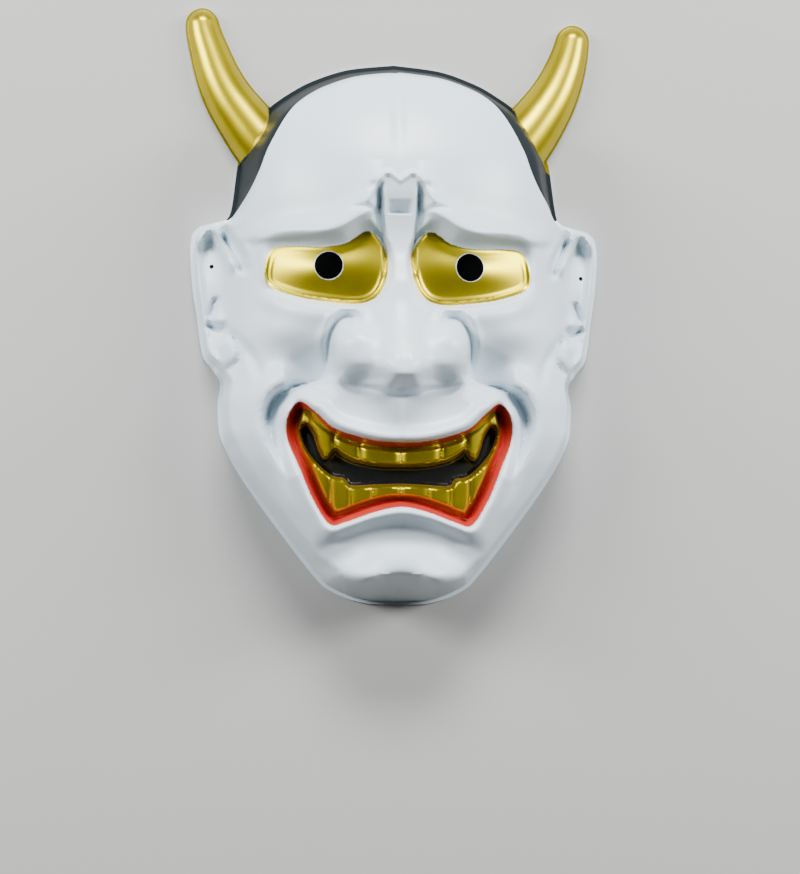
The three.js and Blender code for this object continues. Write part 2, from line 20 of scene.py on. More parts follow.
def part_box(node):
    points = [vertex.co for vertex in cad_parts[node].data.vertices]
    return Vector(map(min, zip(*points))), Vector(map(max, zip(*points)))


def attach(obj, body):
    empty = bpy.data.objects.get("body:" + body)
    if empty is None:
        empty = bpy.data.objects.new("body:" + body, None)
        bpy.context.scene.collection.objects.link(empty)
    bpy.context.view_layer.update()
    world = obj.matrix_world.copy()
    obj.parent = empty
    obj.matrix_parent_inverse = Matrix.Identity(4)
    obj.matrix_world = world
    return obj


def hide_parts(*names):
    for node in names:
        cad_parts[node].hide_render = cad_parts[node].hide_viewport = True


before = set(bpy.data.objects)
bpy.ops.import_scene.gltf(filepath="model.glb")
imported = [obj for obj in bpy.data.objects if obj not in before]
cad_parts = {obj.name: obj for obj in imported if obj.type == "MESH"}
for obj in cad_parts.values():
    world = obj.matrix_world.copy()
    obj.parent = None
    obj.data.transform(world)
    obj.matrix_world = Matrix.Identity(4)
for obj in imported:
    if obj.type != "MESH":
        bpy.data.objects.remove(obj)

log = logging.getLogger("hannya_mask")

MM = 0.001
Knots = Sequence[tuple[float, float]]
Array = np.ndarray


class Side(Enum):
    """Half of the face, as the viewer sees it."""

    LEFT = -1
    RIGHT = 1


# Shaping functions


def smooth(start: float, end: float, value: Array) -> Array:
    """Eases from 0 at start to 1 at end."""
    t = np.clip((value - start) / (end - start), 0.0, 1.0)
    return t * t * (3.0 - 2.0 * t)


def round_max(a: Array, b: Array, blend: Array | float) -> Array:
    """Takes the larger of two values, with a rounded change-over.

    Args:
        a: First value.
        b: Second value.
        blend: Difference within which the two are rounded together.

    Returns:
        The blended values.
    """
    near = np.maximum(blend - np.abs(a - b), 0.0)
    return np.maximum(a, b) + near * near / (4.0 * np.maximum(blend, 1e-9))


def round_min(a: Array, b: Array, blend: Array | float) -> Array:
    """Takes the smaller of two values, with a rounded change-over."""
    return -round_max(-a, -b, blend)


def hill(distance: Array, width: Array | float) -> Array:
    """Bell curve of height 1 over a line."""
    return np.exp(-((distance / width) ** 2))


def mound(x: Array, y: Array, centre: tuple[float, float], radii: tuple[float, float]) -> Array:
    """Bell of height 1 over a point, with its own width each way."""
    return np.exp(-(((x - centre[0]) / radii[0]) ** 2) - ((y - centre[1]) / radii[1]) ** 2)


def table(place: Array, knots: Knots) -> Array:
    """Reads a smooth curve that never overshoots its knots.

    Args:
        place: Where to read it.
        knots: Pairs of place and value, in rising order of place.

    Returns:
        The values at those places.
    """
    xs, ys = (np.array(column, float) for column in zip(*knots))
    rate = np.diff(ys) / np.diff(xs)
    slope = np.concatenate([rate[:1], np.zeros(len(xs) - 2), rate[-1:]])
    before, after = rate[:-1], rate[1:]
    same = before * after > 0
    slope[1:-1][same] = (2 * before * after)[same] / (before + after)[same]
    at = np.clip(place, xs[0], xs[-1])
    i = np.clip(np.searchsorted(xs, at, side="right") - 1, 0, len(xs) - 2)
    span = xs[i + 1] - xs[i]
    t = (at - xs[i]) / span
    rest = 1 - t
    return ((1 + 2 * t) * rest * rest * ys[i] + t * rest * rest * span * slope[i]
            + t * t * (3 - 2 * t) * ys[i + 1] - t * t * rest * span * slope[i + 1])


def traced(points: Knots, closed: bool = False, steps: int = 7) -> Array:
    """Draws a smooth line through points.

    Args:
        points: The points that it passes through.
        closed: Whether it runs back to its start.
        steps: Pieces between neighbouring points.

    Returns:
        The line's own points, the first one repeated at the end of a closed line.
    """
    p = np.array(points, float)
    if closed:
        p = np.concatenate([p[-1:], p, p[:2]])
    else:
        p = np.concatenate([2 * p[:1] - p[1:2], p, 2 * p[-1:] - p[-2:-1]])
    t = (np.arange(steps) / steps)[:, None]
    parts = [
        0.5 * (2 * b + (c - a) * t + (2 * a - 5 * b + 4 * c - d) * t * t + (3 * b - a - 3 * c + d) * t ** 3)
        for a, b, c, d in zip(p, p[1:], p[2:], p[3:])
    ]
    return np.concatenate([*parts, p[-2:-1]])


def mouth_loop(low: Knots, high: Knots) -> Array:
    """Closes a mouth line, mirrored about the middle.

    Args:
        low: Its lower half on one side, from the corner of the mouth to the middle.
        high: Its upper half on that side, from the middle to the corner.

    Returns:
        The closed line.
    """
    other_low, other_high = ([(-x, y) for x, y in reversed(half)] for half in (low, high))
    return traced([*low, *other_low[1:], *other_high[:-1], *high], closed=True)


def passed_along(line: Array) -> Array:
    """Adds up the length of a line from its start to each of its points."""
    return np.concatenate([[0.0], np.cumsum(np.hypot(*np.diff(line, axis=0).T))])


def spaced(line: Array, count: int) -> Array:
    """Draws a line again with evenly spaced points.

    Args:
        line: The line's points.
        count: How many points the new line has.

    Returns:
        The points of the new line.
    """
    passed = passed_along(line)
    places = np.linspace(0, passed[-1], count)
    return np.column_stack([np.interp(places, passed, column) for column in line.T])


@dataclass
class Along:
    """Where points lie beside a line: distance, share of its length passed, and side."""

    distance: Array
    share: Array
    side: Array


def along(x: Array, y: Array, line: Array) -> Along:
    """Measures points against a line.

    Args:
        x: Across places.
        y: Up places.
        line: The line's points.

    Returns:
        Distance, share passed, and a side of 1 to the left of its travel.
    """
    lengths = np.hypot(*(line[1:] - line[:-1]).T)
    passed = passed_along(line)
    best = np.full(x.shape, np.inf)
    share = np.zeros(x.shape)
    side = np.ones(x.shape)
    for k, (start, run) in enumerate(zip(line[:-1], line[1:] - line[:-1])):
        square = float(run @ run)
        if square == 0:
            continue
        t = np.clip(((x - start[0]) * run[0] + (y - start[1]) * run[1]) / square, 0, 1)
        off_x = x - start[0] - t * run[0]
        off_y = y - start[1] - t * run[1]
        distance = off_x * off_x + off_y * off_y
        nearer = distance < best
        best = np.where(nearer, distance, best)
        share = np.where(nearer, (passed[k] + t * lengths[k]) / passed[-1], share)
        side = np.where(nearer, np.where(run[0] * off_y - run[1] * off_x < 0, -1.0, 1.0), side)
    return Along(np.sqrt(best), share, side)


def within(x: Array, y: Array, loop: Array) -> Array:
    """Says which points lie inside a closed loop.

    Args:
        x: Across places.
        y: Up places.
        loop: The loop, its first point repeated at its end.

    Returns:
        True for each point inside.
    """
    inside = np.zeros(x.shape, bool)
    for (ax, ay), (bx, by) in zip(loop[:-1], loop[1:]):
        if ay != by:
            inside ^= ((ay > y) != (by > y)) & (x < (bx - ax) * (y - ay) / (by - ay) + ax)
    return inside


def signed(x: Array, y: Array, loop: Array) -> Array:
    """Measures the distance to a closed loop, negative inside."""
    distance = along(x, y, loop).distance
    return np.where(within(x, y, loop), -distance, distance)


# The face


@dataclass
class Outline:
    """Trimmed edge of the sheet round the face, horns left out."""

    side_edge: Knots = (
        (-108.5, 62.7), (-97.5, 70.2), (-86.6, 76.4), (-75.6, 80.4), (-64.6, 80.9), (-54.5, 79.6),
        (-48.6, 83.0), (-42.5, 87.4), (-37.2, 88.6), (-26.2, 90.0), (-10, 92.3), (5.8, 93.2),
        (12.8, 92.3), (16.8, 88.8), (18.5, 82.4), (20.8, 76.2), (24.5, 74.6), (38, 72.6),
        (46, 71.5), (56, 68), (65.5, 62.7),
    )
    chin_edge: Knots = ((0, -154.5), (11, -154.2), (21.5, -152), (32.4, -146.8), (37.7, -141.3),
                        (46.4, -130.4), (54.6, -119.5), (62.7, -108.5))
    crown_edge: Knots = ((0, 92.6), (19.5, 90.4), (37.5, 84.5), (49, 78), (57, 72), (62.7, 65.5))
    spacing: float = 1.0
    across_steps: int = 400
    up_steps: int = 600
    # How much nearer to the edge than its depth a drawn-in point may lie
    inset_slack: float = 0.02

    @staticmethod
    def middle(y: Array | float) -> Array | float:
        """Middle of the outline, which leans a little."""
        return -0.1 - 0.0125 * y

    def loop(self) -> Array:
        """Traces the edge.

        Returns:
            Evenly spaced points anticlockwise, with the first one repeated at the end.
        """
        corner = self.side_edge[0][1]
        across = np.linspace(-corner, corner, self.across_steps)
        up = np.linspace(self.side_edge[0][0], self.side_edge[-1][0], self.up_steps)
        low = table(np.abs(across), self.chin_edge)
        high = table(np.abs(across), self.crown_edge)
        side = table(up, self.side_edge)
        parts = [(across, low), (side, up), (across[::-1], high[::-1]), (-side[::-1], up[::-1])]
        points = np.concatenate([np.stack(part, axis=1)[:-1] for part in parts])
        points[:, 0] += self.middle(points[:, 1])
        points = np.concatenate([points, points[:1]])
        return spaced(points, int(passed_along(points)[-1] / self.spacing) + 1)

    def inset(self, loop: Array, depth: float, spacing: float = 0.0) -> Array:
        """Draws the edge in by a depth.

        Args:
            loop: The edge, closed.
            depth: How far inside it the new line runs.
            spacing: Smallest distance between the new line's points.

        Returns:
            The points of the new line, without its first point repeated.
        """
        run = np.roll(loop[:-1], -1, axis=0) - np.roll(loop[:-1], 1, axis=0)
        run /= np.hypot(*run.T)[:, None]
        points = loop[:-1] + depth * np.stack([-run[:, 1], run[:, 0]], axis=1)
        points = points[-signed(points[:, 0], points[:, 1], loop) > depth - self.inset_slack]
        kept = [points[0]]
        for point in points[1:]:
            if math.dist(point, kept[-1]) >= spacing:
                kept.append(point)
        return np.array(kept)


@dataclass(frozen=True)
class Cut:
    """Groove carved along a line, with its depth and half width."""

    line: Knots
    depth: float
    width: float


@dataclass
class FaceRelief:
    """Carving of the face, as the height of the sheet's front over the plane that the rim rests on.

    Lines hold half widths from the middle and up places. A table whose places run from 0 to 1 gives
    a rise, a depth or a fading along its line.
    """

    flange_width: float = 1.6
    flange_thickness: float = 1.2

    # Head and its walls
    head_half: Knots = (
        (-154.5, 12), (-152.3, 23), (-146.8, 32.4), (-130.4, 46.4), (-108.5, 62.7), (-97.5, 70.2),
        (-86.6, 76.4), (-75.6, 79.6), (-64, 79.8), (-54, 78), (-40, 75.5), (-20, 74), (0, 73.5),
        (20, 74), (38, 72.6), (56, 68), (72.5, 57), (78.2, 49), (84.7, 37.5), (93, 10),
    )
    middle_height: Knots = (
        (-154.5, 44), (-146, 52), (-139, 57.5), (-130, 58), (-118, 57.5), (-108, 59), (-90, 60.5),
        (-50, 61.5), (-30, 63), (-10, 64.5), (10, 66), (25, 66.5), (40, 65), (54, 60.8), (66, 55),
        (76, 48), (84, 40.5), (93, 29),
    )
    dome_overhang: float = 1.06
    dome_power: float = 2.25
    forehead_groove: float = 1.2
    wall_slope: Knots = ((-154, 4.3), (-143, 4.6), (-130, 6.5), (-60, 8), (20, 6), (35, 4.5), (93, 4.3))
    chin_slope: Knots = ((0, 3.4), (6, 3.7), (12, 4.8), (18, 6), (28, 6.4), (40, 6))
    wall_rounding: float = 4.0

    # Eyes
    eye_edge: Knots = ((57.8, -6.3), (56.6, -13.1), (47.3, -17.3), (35.1, -20), (17.5, -21.4),
                       (9.2, -16.7), (5.7, -5.5), (7.8, 3.7), (14, 9.1), (22.9, 3.9), (33.9, 2.1),
                       (47.2, 2.8), (54.9, 1.5))
    ball_height: float = 57.6
    ball_tilt: float = 0.105
    ball_curve: float = 0.0024
    ball_bulge: float = 3.8
    outer_rim: float = 1.1
    inner_rim: float = 0.4
    eye_bag: float = 2.2

    # Brow and frown
    brow_edge: Knots = ((7.5, 40), (8.6, 29), (11.5, 18.5), (18.8, 13.5), (24.9, 10.2), (31.4, 8.2),
                        (40.1, 7), (51.2, 6.6), (62, 6.8), (71, 8.5))
    brow_rise: Knots = ((0, 0), (0.14, 1.8), (0.28, 4.4), (0.5, 4.4), (0.75, 3.6), (1, 0.8))
    frown_ridge: Knots = ((0, 30.6), (2.4, 32.4), (5, 34), (7.6, 33), (10.2, 29), (12.8, 24.6),
                          (15.6, 20.6))
    ridge_rise: float = 2.0
    ridge_fading: Knots = ((0, 0.6), (0.5, 1), (0.85, 1), (1, 0))
    wrinkle: Knots = ((11.8, 18.6), (15, 19.4), (18.5, 19), (22, 18))
    wrinkle_depth: float = 3.2
    wrinkle_fading: Knots = ((0, 1), (0.4, 0.8), (1, 0))
    frown_crease: Knots = ((8.4, 31), (8.3, 21), (7.9, 14), (6.9, 3), (6.3, -6))
    frown_depth: Knots = ((0, 0), (0.1, 7), (0.3, 11), (0.75, 10), (1, 0))
    frown_widths: tuple[float, float] = (0.9, 3.4)
    sunk_column: float = 4.5
    sunk_root: float = 2.0
    pinch_depth: float = 5.0

    # Nose
    bridge_rise: Knots = ((-68, 0), (-64, 1), (-60.5, 9), (-57, 17.5), (-53, 21.5), (-48, 20.5), (-40, 15),
                          (-30, 8.2), (-20, 3.6), (-8, 1.8), (10, 0))
    bridge_half: Knots = ((-66, 18), (-54, 18.5), (-45, 17.5), (-35, 14.5), (-22, 9.5), (-8, 6.5), (8, 5.5))
    bridge_power: float = 2.2
    wing_centre: tuple[float, float] = (19.5, -43.5)
    wing_radius: float = 12.3
    wing_rise: float = 12.5
    wing_power: float = 3.3
    wing_blend: float = 9.0
    underside: Knots = ((0, -61.5), (6, -60.5), (12, -58.2), (20, -57.5), (26, -55), (32, -50))
    wing_crease: Knots = ((18.4, -30.9), (21, -28.4), (24.4, -28.2), (27.6, -30.2), (29.7, -34),
                          (31, -38.3), (31.2, -43.5), (30.5, -48.8), (28.6, -52.5))
    wing_crease_depth: Knots = ((0, 1.5), (0.12, 7), (0.3, 6), (0.75, 7), (1, 5))
    wing_crease_width: Knots = ((0, 2.4), (0.2, 2.8), (0.4, 1.8), (1, 1.8))
    wing_swell: Knots = ((0.15, 0), (0.3, 1), (0.5, 0.8), (0.75, 0))
    swell_rise: float = 1.4
    nostril_depth: float = 9.5
    tip_depth: float = 5.5
    tip_cleft: float = 1.3
    lip_seam: float = 0.7

    # Cheeks
    cheekbone_rise: float = 3.4
    cheek_hollow: float = 5.0
    cheek_valley: Knots = ((25, -48), (30, -52.2), (33, -54), (37, -55.7), (43, -57.2), (50, -58.4))
    valley_depth: Knots = ((0, 9), (0.5, 13.5), (0.8, 10), (1, 0))
    valley_reach: float = 16.0
    smile_fold: Knots = ((31, -51.5), (37.5, -55.2), (47.5, -56.6), (56, -61.8), (59.3, -70.7),
                         (57.7, -80.6), (54, -89.9), (49, -99))
    fold_depth: Knots = ((0, 0), (0.16, 5), (0.4, 13.5), (0.7, 10), (1, 0))
    fold_lip: float = 0.2
    jaw_fold: Knots = ((55, -95), (47.5, -110), (38, -124))
    jaw_rise: Knots = ((0, 0), (0.5, 1.8), (1, 0.5))

    # Mouth
    lip_low: Knots = ((44.1, -64.7), (49, -71.1), (49.2, -80.8), (44, -93.6), (38.6, -106.7),
                      (31.3, -118), (24, -117), (11.9, -112.7), (0, -110.3))
    lip_high: Knots = ((0, -82.3), (10.8, -81.7), (21.7, -79.1), (30, -75.7), (37.6, -68.8))
    lip_rise: float = 3.6
    mouth_depth: float = 11.0
    teeth_low: Knots = ((43.2, -67.6), (44.8, -73), (44.8, -79), (42.3, -87), (38.5, -97.5),
                        (33.5, -108), (29, -113.8), (25, -113.2), (18.5, -110.5), (8, -107.4),
                        (0, -106.8))
    teeth_high: Knots = ((0, -84.6), (6.5, -84.2), (15.2, -82.9), (21.7, -81.3), (28.5, -78.4),
                         (33.5, -74), (38.3, -69))
    teeth_rise: float = 5.4
    upper_teeth: tuple[float, ...] = (0, 17.6, 29, 40)
    lower_teeth: tuple[float, ...] = (0, 12.2, 21.8, 30.5, 45)
    tooth_rounding: float = 0.28
    gap_low: Knots = ((41.2, -74.8), (43, -77), (42.5, -81), (40.7, -85.4), (37.2, -90.2),
                      (32.8, -94.5), (28.9, -97.1), (24.3, -98), (21.4, -101), (11, -100.6),
                      (0, -100.2))
    gap_high: Knots = ((0, -92.6), (11, -92.3), (20.3, -90.3), (25.8, -87.5), (28.4, -85.7),
                       (30, -87.9), (33, -89.5), (35.5, -85.3), (37.3, -79.6), (39, -76.5))
    gap_depth: float = 3.5

    # Chin
    chin_hollow: Knots = ((0, -120), (10, -120.6), (20, -123.2), (31, -128.5), (38, -134))
    chin_hollow_depth: Knots = ((0, 8), (0.6, 7), (1, 0))
    chin_hollow_widths: tuple[float, float] = (18.0, 4.5)
    lobe_rise: float = 3.0
    chin_notch: float = 11.0

    # Ears
    ear_low: float = 8.0
    ear_rise: float = 13.0
    ear_wall_slope: float = 7.0
    rolled_rim: float = 2.2
    ear_fold: Knots = ((88.6, 9), (86.8, 12.2), (84, 13.6), (81.2, 11.8), (78.4, 6.4), (76.2, 1.9),
                       (74.2, -3.2), (72.9, -6.2))
    ear_fold_rise: float = 5.8
    ear_ridge: Knots = ((76.7, 16.1), (73.4, 10.5), (70, 6.1), (67.8, 1.6), (67.3, -2.4))
    ear_ridge_rise: float = 1.8
    tragus_rise: float = 2.8
    ear_lobe_rise: float = 4.0
    ear_hollow: float = 2.6
    ear_blend: float = 7.0
    # Cleft beside the fold, notches above and below the tragus, edge of the lobe, line down the cheek
    ear_cuts: tuple[Cut, ...] = (
        Cut(((78.4, 13.3), (75.1, 7.3), (72.3, 2.8), (70.1, -1.1), (70.1, -4.5), (71.6, -6.7)), 7.0, 2.4),
        Cut(((81, -15.5), (82.5, -19.1), (84.2, -23.1), (85.6, -25.4)), 4.0, 1.3),
        Cut(((86.4, -28.2), (82, -29.9), (78.7, -30.7), (76.6, -28.1)), 4.4, 1.4),
        Cut(((83.2, -45.7), (77.6, -49.2), (72, -46.6), (71.1, -39.9), (74.2, -33.1)), 4.0, 1.5),
        Cut(((77, -31.2), (72.1, -36.7), (67.7, -41.6), (63.3, -48.8), (62.2, -56.5)), 2.6, 2.2),
    )
    lines: dict[str, Array] = field(default_factory=dict)

    def __post_init__(self) -> None:
        """Draws the carved lines once."""
        for name in ("brow_edge", "frown_crease", "frown_ridge", "wrinkle", "wing_crease", "smile_fold",
                     "jaw_fold", "chin_hollow", "cheek_valley", "ear_fold", "ear_ridge"):
            self.lines[name] = traced(getattr(self, name))
        self.lines["eye"] = traced(self.eye_edge, closed=True)
        self.lines["lip"] = mouth_loop(self.lip_low, self.lip_high)
        self.lines["teeth"] = mouth_loop(self.teeth_low, self.teeth_high)
        self.lines["gap"] = mouth_loop(self.gap_low, self.gap_high)

    def middle(self, y: Array) -> Array:
        """Middle of the features, which leans a little."""
        return -1.6 - 0.017 * y

    def along(self, x: Array, y: Array, name: str) -> Along:
        """Measures places against a carved line."""
        return along(x, y, self.lines[name])

    def dome(self, y: Array, from_middle: Array) -> Array:
        """Plain rounded head."""
        share = np.minimum(from_middle / (table(y, self.head_half) * self.dome_overhang), 1)
        return table(y, self.middle_height) * np.sqrt(1 - share ** self.dome_power)

    def brow(self, half: Array, y: Array) -> Array:
        """Heavy brow over the eye, with the thin ridge and the short wrinkle that the scowl raises.

        Args:
            half: Distance from the middle of the features.
            y: Up places.

        Returns:
            How much it raises the head.
        """
        edge = self.along(half, y, "brow_edge")
        above = edge.side * edge.distance
        rise = table(edge.share, self.brow_rise)
        brow = rise * hill(np.maximum(above, 0) - 1.5, 6) * smooth(-1.8, 0.8, above) * smooth(75, 67, half)
        ridge = self.along(half, y, "frown_ridge")
        wrinkle = self.along(half, y, "wrinkle")
        brow += self.ridge_rise * hill(ridge.distance, 0.95) * table(ridge.share, self.ridge_fading)
        brow -= self.wrinkle_depth * hill(wrinkle.distance, 1.1) * table(wrinkle.share, self.wrinkle_fading)
        return brow

    def eye(self, half: Array, y: Array, height: Array) -> Array:
        """Sinks the eyeball into the socket, with two thin rims round it and a bag below.

        Args:
            half: Distance from the middle of the features.
            y: Up places.
            height: The head with its brow.

        Returns:
            The height with the eye in it.
        """
        edge = signed(half, y, self.lines["eye"])
        ball = self.ball_height - self.ball_tilt * half - self.ball_curve * half * half
        ball = ball + self.ball_bulge * mound(half, y, (31, -6.5), (20, 10))
        reach = 3.6 + 3.2 * smooth(-8, 4, y) * smooth(8, 14, half)
        sunk = height + (ball - height) * (1 - smooth(0, 1, edge / reach))
        lower = 0.1 + 0.9 * smooth(1, -6, y)
        rims = (self.outer_rim * hill(edge - 0.3, 0.8) + self.inner_rim * hill(edge + 1.7, 0.6)) * lower
        below = smooth(-10, -20, y) * smooth(10, 22, half) * smooth(66, 54, half)
        return sunk + rims + self.eye_bag * hill(edge - 6.5, 4.5) * below

    def frown(self, half: Array, y: Array) -> Array:
        """Creases beside the root of the nose, with the sunk column and its pinched fold between them.

        Args:
            half: Distance from the middle of the features.
            y: Up places.

        Returns:
            How much it raises the head, mostly negative.
        """
        crease = self.along(half, y, "frown_crease")
        outwards = crease.side * crease.distance
        depth = table(crease.share, self.frown_depth)
        inner_width, outer_width = self.frown_widths
        groove = depth * hill(outwards, np.where(outwards > 0, outer_width, inner_width))
        pinch = smooth(5.4, 3.8, half) * smooth(16.6, 18.1, y) * smooth(23.4, 18.8, y)
        groove *= smooth(-0.4, 2.4, signed(half, y, self.lines["eye"]))
        column = smooth(8, 5.5, half) * smooth(33, 14, y) * smooth(-14, 2, y)
        root = self.sunk_root * mound(half, y, (0, 4), (8, 14))
        return -self.sunk_column * column - root - groove - self.pinch_depth * pinch

    def nose(self, half: Array, y: Array) -> Array:
        """Broad nose with its bridge, wings, creases and nostrils.

        Args:
            half: Distance from the middle of the features.
            y: Up places.

        Returns:
            How much it raises the head.
        """
        narrowed = half / table(y, self.bridge_half)
        bridge = table(y, self.bridge_rise) * np.exp(-(narrowed ** self.bridge_power))
        across, up = self.wing_centre
        off_wing = np.hypot((half - across) / self.wing_radius, (y - up) / self.wing_radius)
        wing = self.wing_rise * np.exp(-(off_wing ** self.wing_power))
        blend = self.wing_blend * (1 - np.exp(-(bridge + wing) / 7))
        body = round_max(bridge, wing, np.maximum(blend, 0.01))
        body = body * smooth(-2, 1.6, y - table(half, self.underside))
        edge = self.along(half, y, "wing_crease")
        crease = table(edge.share, self.wing_crease_depth) * hill(
            edge.distance, table(edge.share, self.wing_crease_width))
        outside = self.swell_rise * hill(edge.side * edge.distance - 3.6, 1.6)
        outside = outside * table(edge.share, self.wing_swell)
        cleft = self.tip_cleft * hill(half, 2.6) * smooth(-38, -50, y) * smooth(-62, -58, y)
        under = self.nostril_depth * mound(half, y, (16, -55.8), (8, 3.8))
        under = under + self.tip_depth * mound(half, y, (0, -58.8), (4.5, 2.8))
        seam = self.lip_seam * hill(half, 0.8) * smooth(-63, -67, y) * smooth(-82, -77, y)
        return body - crease + outside - cleft - under + seam

    def cheek(self, half: Array, y: Array) -> Array:
        """Cheekbone, the hollow under it, the deep smile fold and the fold along the jaw.

        Args:
            half: Distance from the middle of the features.
            y: Up places.

        Returns:
            How much it raises the head.
        """
        edge = self.along(half, y, "smile_fold")
        past = -edge.side * edge.distance
        depth = table(edge.share, self.fold_depth)
        fold = smooth(-1.4, 2.2, past) * (1 - smooth(3.5, 12.5, past)) - self.fold_lip * hill(past + 4.5, 4)
        jaw = self.along(half, y, "jaw_fold")
        flap = table(jaw.share, self.jaw_rise) * hill(jaw.distance, 3)
        bone = self.cheekbone_rise * mound(half, y, (52, -33), (13, 9))
        valley = self.along(half, y, "cheek_valley")
        above = valley.side * valley.distance
        depth_below = table(valley.share, self.valley_depth) * smooth(27.5, 33.5, half)
        hollow = smooth(-1.7, 0.7, above) * smooth(self.valley_reach, 0, above) * depth_below
        hollow += self.cheek_hollow * mound(half, y, (41, -46), (13, 9))
        return bone - hollow - depth * fold + flap

    def mouth(self, x: Array, y: Array) -> Array:
        """Lip ridge, red inner wall, two rows of teeth and the closed gap between them.

        Args:
            x: Across places from the middle of the features.
            y: Up places.

        Returns:
            How much it raises the head, mostly negative.
        """
        lip = signed(x, y, self.lines["lip"])
        teeth = signed(x, y, self.lines["teeth"])
        gap = signed(x, y, self.lines["gap"])
        half = np.abs(x)
        ridge = self.lip_rise * hill(lip - 2.6, 3.4) * smooth(-1.2, 1.6, lip)
        crowns = self.teeth_rise * smooth(0.3, -2.2, teeth) * smooth(-0.2, 1.6, gap)
        upper = smooth(-96, -92, y)
        bulge = upper * self.bulge(half, self.upper_teeth)
        bulge += (1 - upper) * self.bulge(half, self.lower_teeth)
        crowns *= 1 - self.tooth_rounding + self.tooth_rounding * bulge
        inner_wall = self.mouth_depth * smooth(0.4, -3.4, lip)
        return ridge - inner_wall + crowns - self.gap_depth * smooth(0.8, -1.4, gap)

    def bulge(self, half: Array, edges: tuple[float, ...]) -> Array:
        """Rounds each tooth of a row.

        Args:
            half: Distance from the middle of the features.
            edges: Where the teeth meet, from the middle outwards, and where the row ends.

        Returns:
            One on the face of a tooth, falling to zero where it meets the next.
        """
        tooth = np.clip(np.searchsorted(edges, half, side="right") - 1, 0, len(edges) - 2)
        start, end = np.array(edges)[tooth], np.array(edges)[tooth + 1]
        return 1 - np.abs(2 * np.clip((half - start) / (end - start), 0, 1) - 1) ** 7

    def chin(self, half: Array, y: Array) -> Array:
        """Hollow under the lip and the two lobes of the chin.

        Args:
            half: Distance from the middle of the features.
            y: Up places.

        Returns:
            How much it raises the head.
        """
        edge = self.along(half, y, "chin_hollow")
        below = edge.side * edge.distance
        lower_width, upper_width = self.chin_hollow_widths
        spread = np.where(below < 0, lower_width, upper_width)
        hollow = table(edge.share, self.chin_hollow_depth) * hill(edge.distance, spread)
        lobes = self.lobe_rise * mound(half, y, (17, -141), (10, 5.5))
        return lobes - self.chin_notch * mound(half, y, (0, -148), (10, 7.5)) - hollow

    def ear(self, half: Array, edge: Array) -> Array:
        """Plain ear plate, rising towards the head.

        Args:
            half: Distance from the middle of the outline.
            edge: Distance inside the trimmed edge.

        Returns:
            Height of the plate.
        """
        level = self.ear_low + self.ear_rise * smooth(88, 68, half)
        wall = self.flange_thickness + self.ear_wall_slope * np.maximum(edge - self.flange_width, 0)
        return round_min(level, wall, 1)

    def ear_carving(self, half: Array, y: Array, edge: Array) -> Array:
        """Rolled rim, inner fold, clefts, tragus and lobe of the ear.

        Args:
            half: Distance from the middle of the outline.
            y: Up places.
            edge: Distance inside the trimmed edge.

        Returns:
            How much the carving raises the plain plate.
        """
        fold = self.along(half, y, "ear_fold")
        raised = self.rolled_rim * hill(edge - 3.6, 1.6)
        raised = raised + self.ear_fold_rise * hill(fold.distance, 1.8) * smooth(1, 0.85, fold.share)
        raised += self.ear_ridge_rise * hill(self.along(half, y, "ear_ridge").distance, 1.8)
        swell = mound(half, y, (84, -10), (5, 8))
        raised += self.tragus_rise * mound(half, y, (80.9, -26.3), (3.2, 3)) + swell
        raised += self.ear_lobe_rise * np.exp(-(np.hypot((half - 78.3) / 6.6, (y + 41) / 6.2) ** 4))
        for cut in self.ear_cuts:
            line = along(half, y, traced(cut.line))
            fading = smooth(0, 0.12, line.share) * smooth(1, 0.9, line.share)
            raised -= cut.depth * hill(line.distance, cut.width) * fading
        return raised - self.ear_hollow * mound(half, y, (84, 6), (5, 8))

    def height(self, x: Array, y: Array, edge: Array) -> Array:
        """Works out the front of the sheet.

        Args:
            x: Across places.
            y: Up places.
            edge: Distance inside the trimmed edge.

        Returns:
            Height over the plane that the rim rests on.
        """
        from_features = x - self.middle(y)
        half = np.abs(from_features)
        outer = np.abs(x - Outline.middle(y))
        z = self.dome(y, outer) + self.brow(half, y)
        z -= self.forehead_groove * hill(from_features, 3) * smooth(36, 60, y)
        z = self.eye(half, y, z) + self.frown(half, y) + self.nose(half, y)
        z += self.cheek(half, y) + self.mouth(from_features, y) + self.chin(half, y)
        flange = self.flange_thickness
        chin = table(half, self.chin_slope)
        slope = chin + (table(y, self.wall_slope) - chin) * smooth(-142, -134, y)
        z = round_min(z, flange + slope * np.maximum(edge - self.flange_width, 0), self.wall_rounding)
        zone = smooth(24, 17, y) * smooth(-58, -50, y)
        z = round_max(z, self.ear(outer, edge) * zone, self.ear_blend * zone)
        off_rim = smooth(flange, flange + 2.5, edge)
        z += self.ear_carving(outer, y, edge) * zone * off_rim * smooth(58, 66, outer)
        return np.maximum(z, flange)


# Mesh helpers


def new_mesh(name: str, points: Array, faces: Sequence[Sequence[int]]) -> bpy.types.Mesh:
    """Makes a mesh from millimetre points.

    Args:
        name: Name of the mesh.
        points: Its points, in mm.
        faces: Numbers of the points round each face.

    Returns:
        The mesh, in metres.
    """
    mesh = bpy.data.meshes.new(name)
    mesh.from_pydata((np.asarray(points) * MM).tolist(), [], faces)
    mesh.update()
    return mesh


def new_object(mesh: bpy.types.Mesh) -> bpy.types.Object:
    """Puts a mesh into the scene.

    Args:
        mesh: The mesh, whose name the object takes.

    Returns:
        The object.
    """
    piece = bpy.data.objects.new(mesh.name, mesh)
    bpy.context.scene.collection.objects.link(piece)
    return piece


def remove_object(piece: bpy.types.Object) -> None:
    """Takes a working object out again, with its mesh.

    Args:
        piece: The working object.
    """
    data = piece.data
    bpy.data.objects.remove(piece)
    if isinstance(data, bpy.types.Mesh):
        bpy.data.meshes.remove(data)


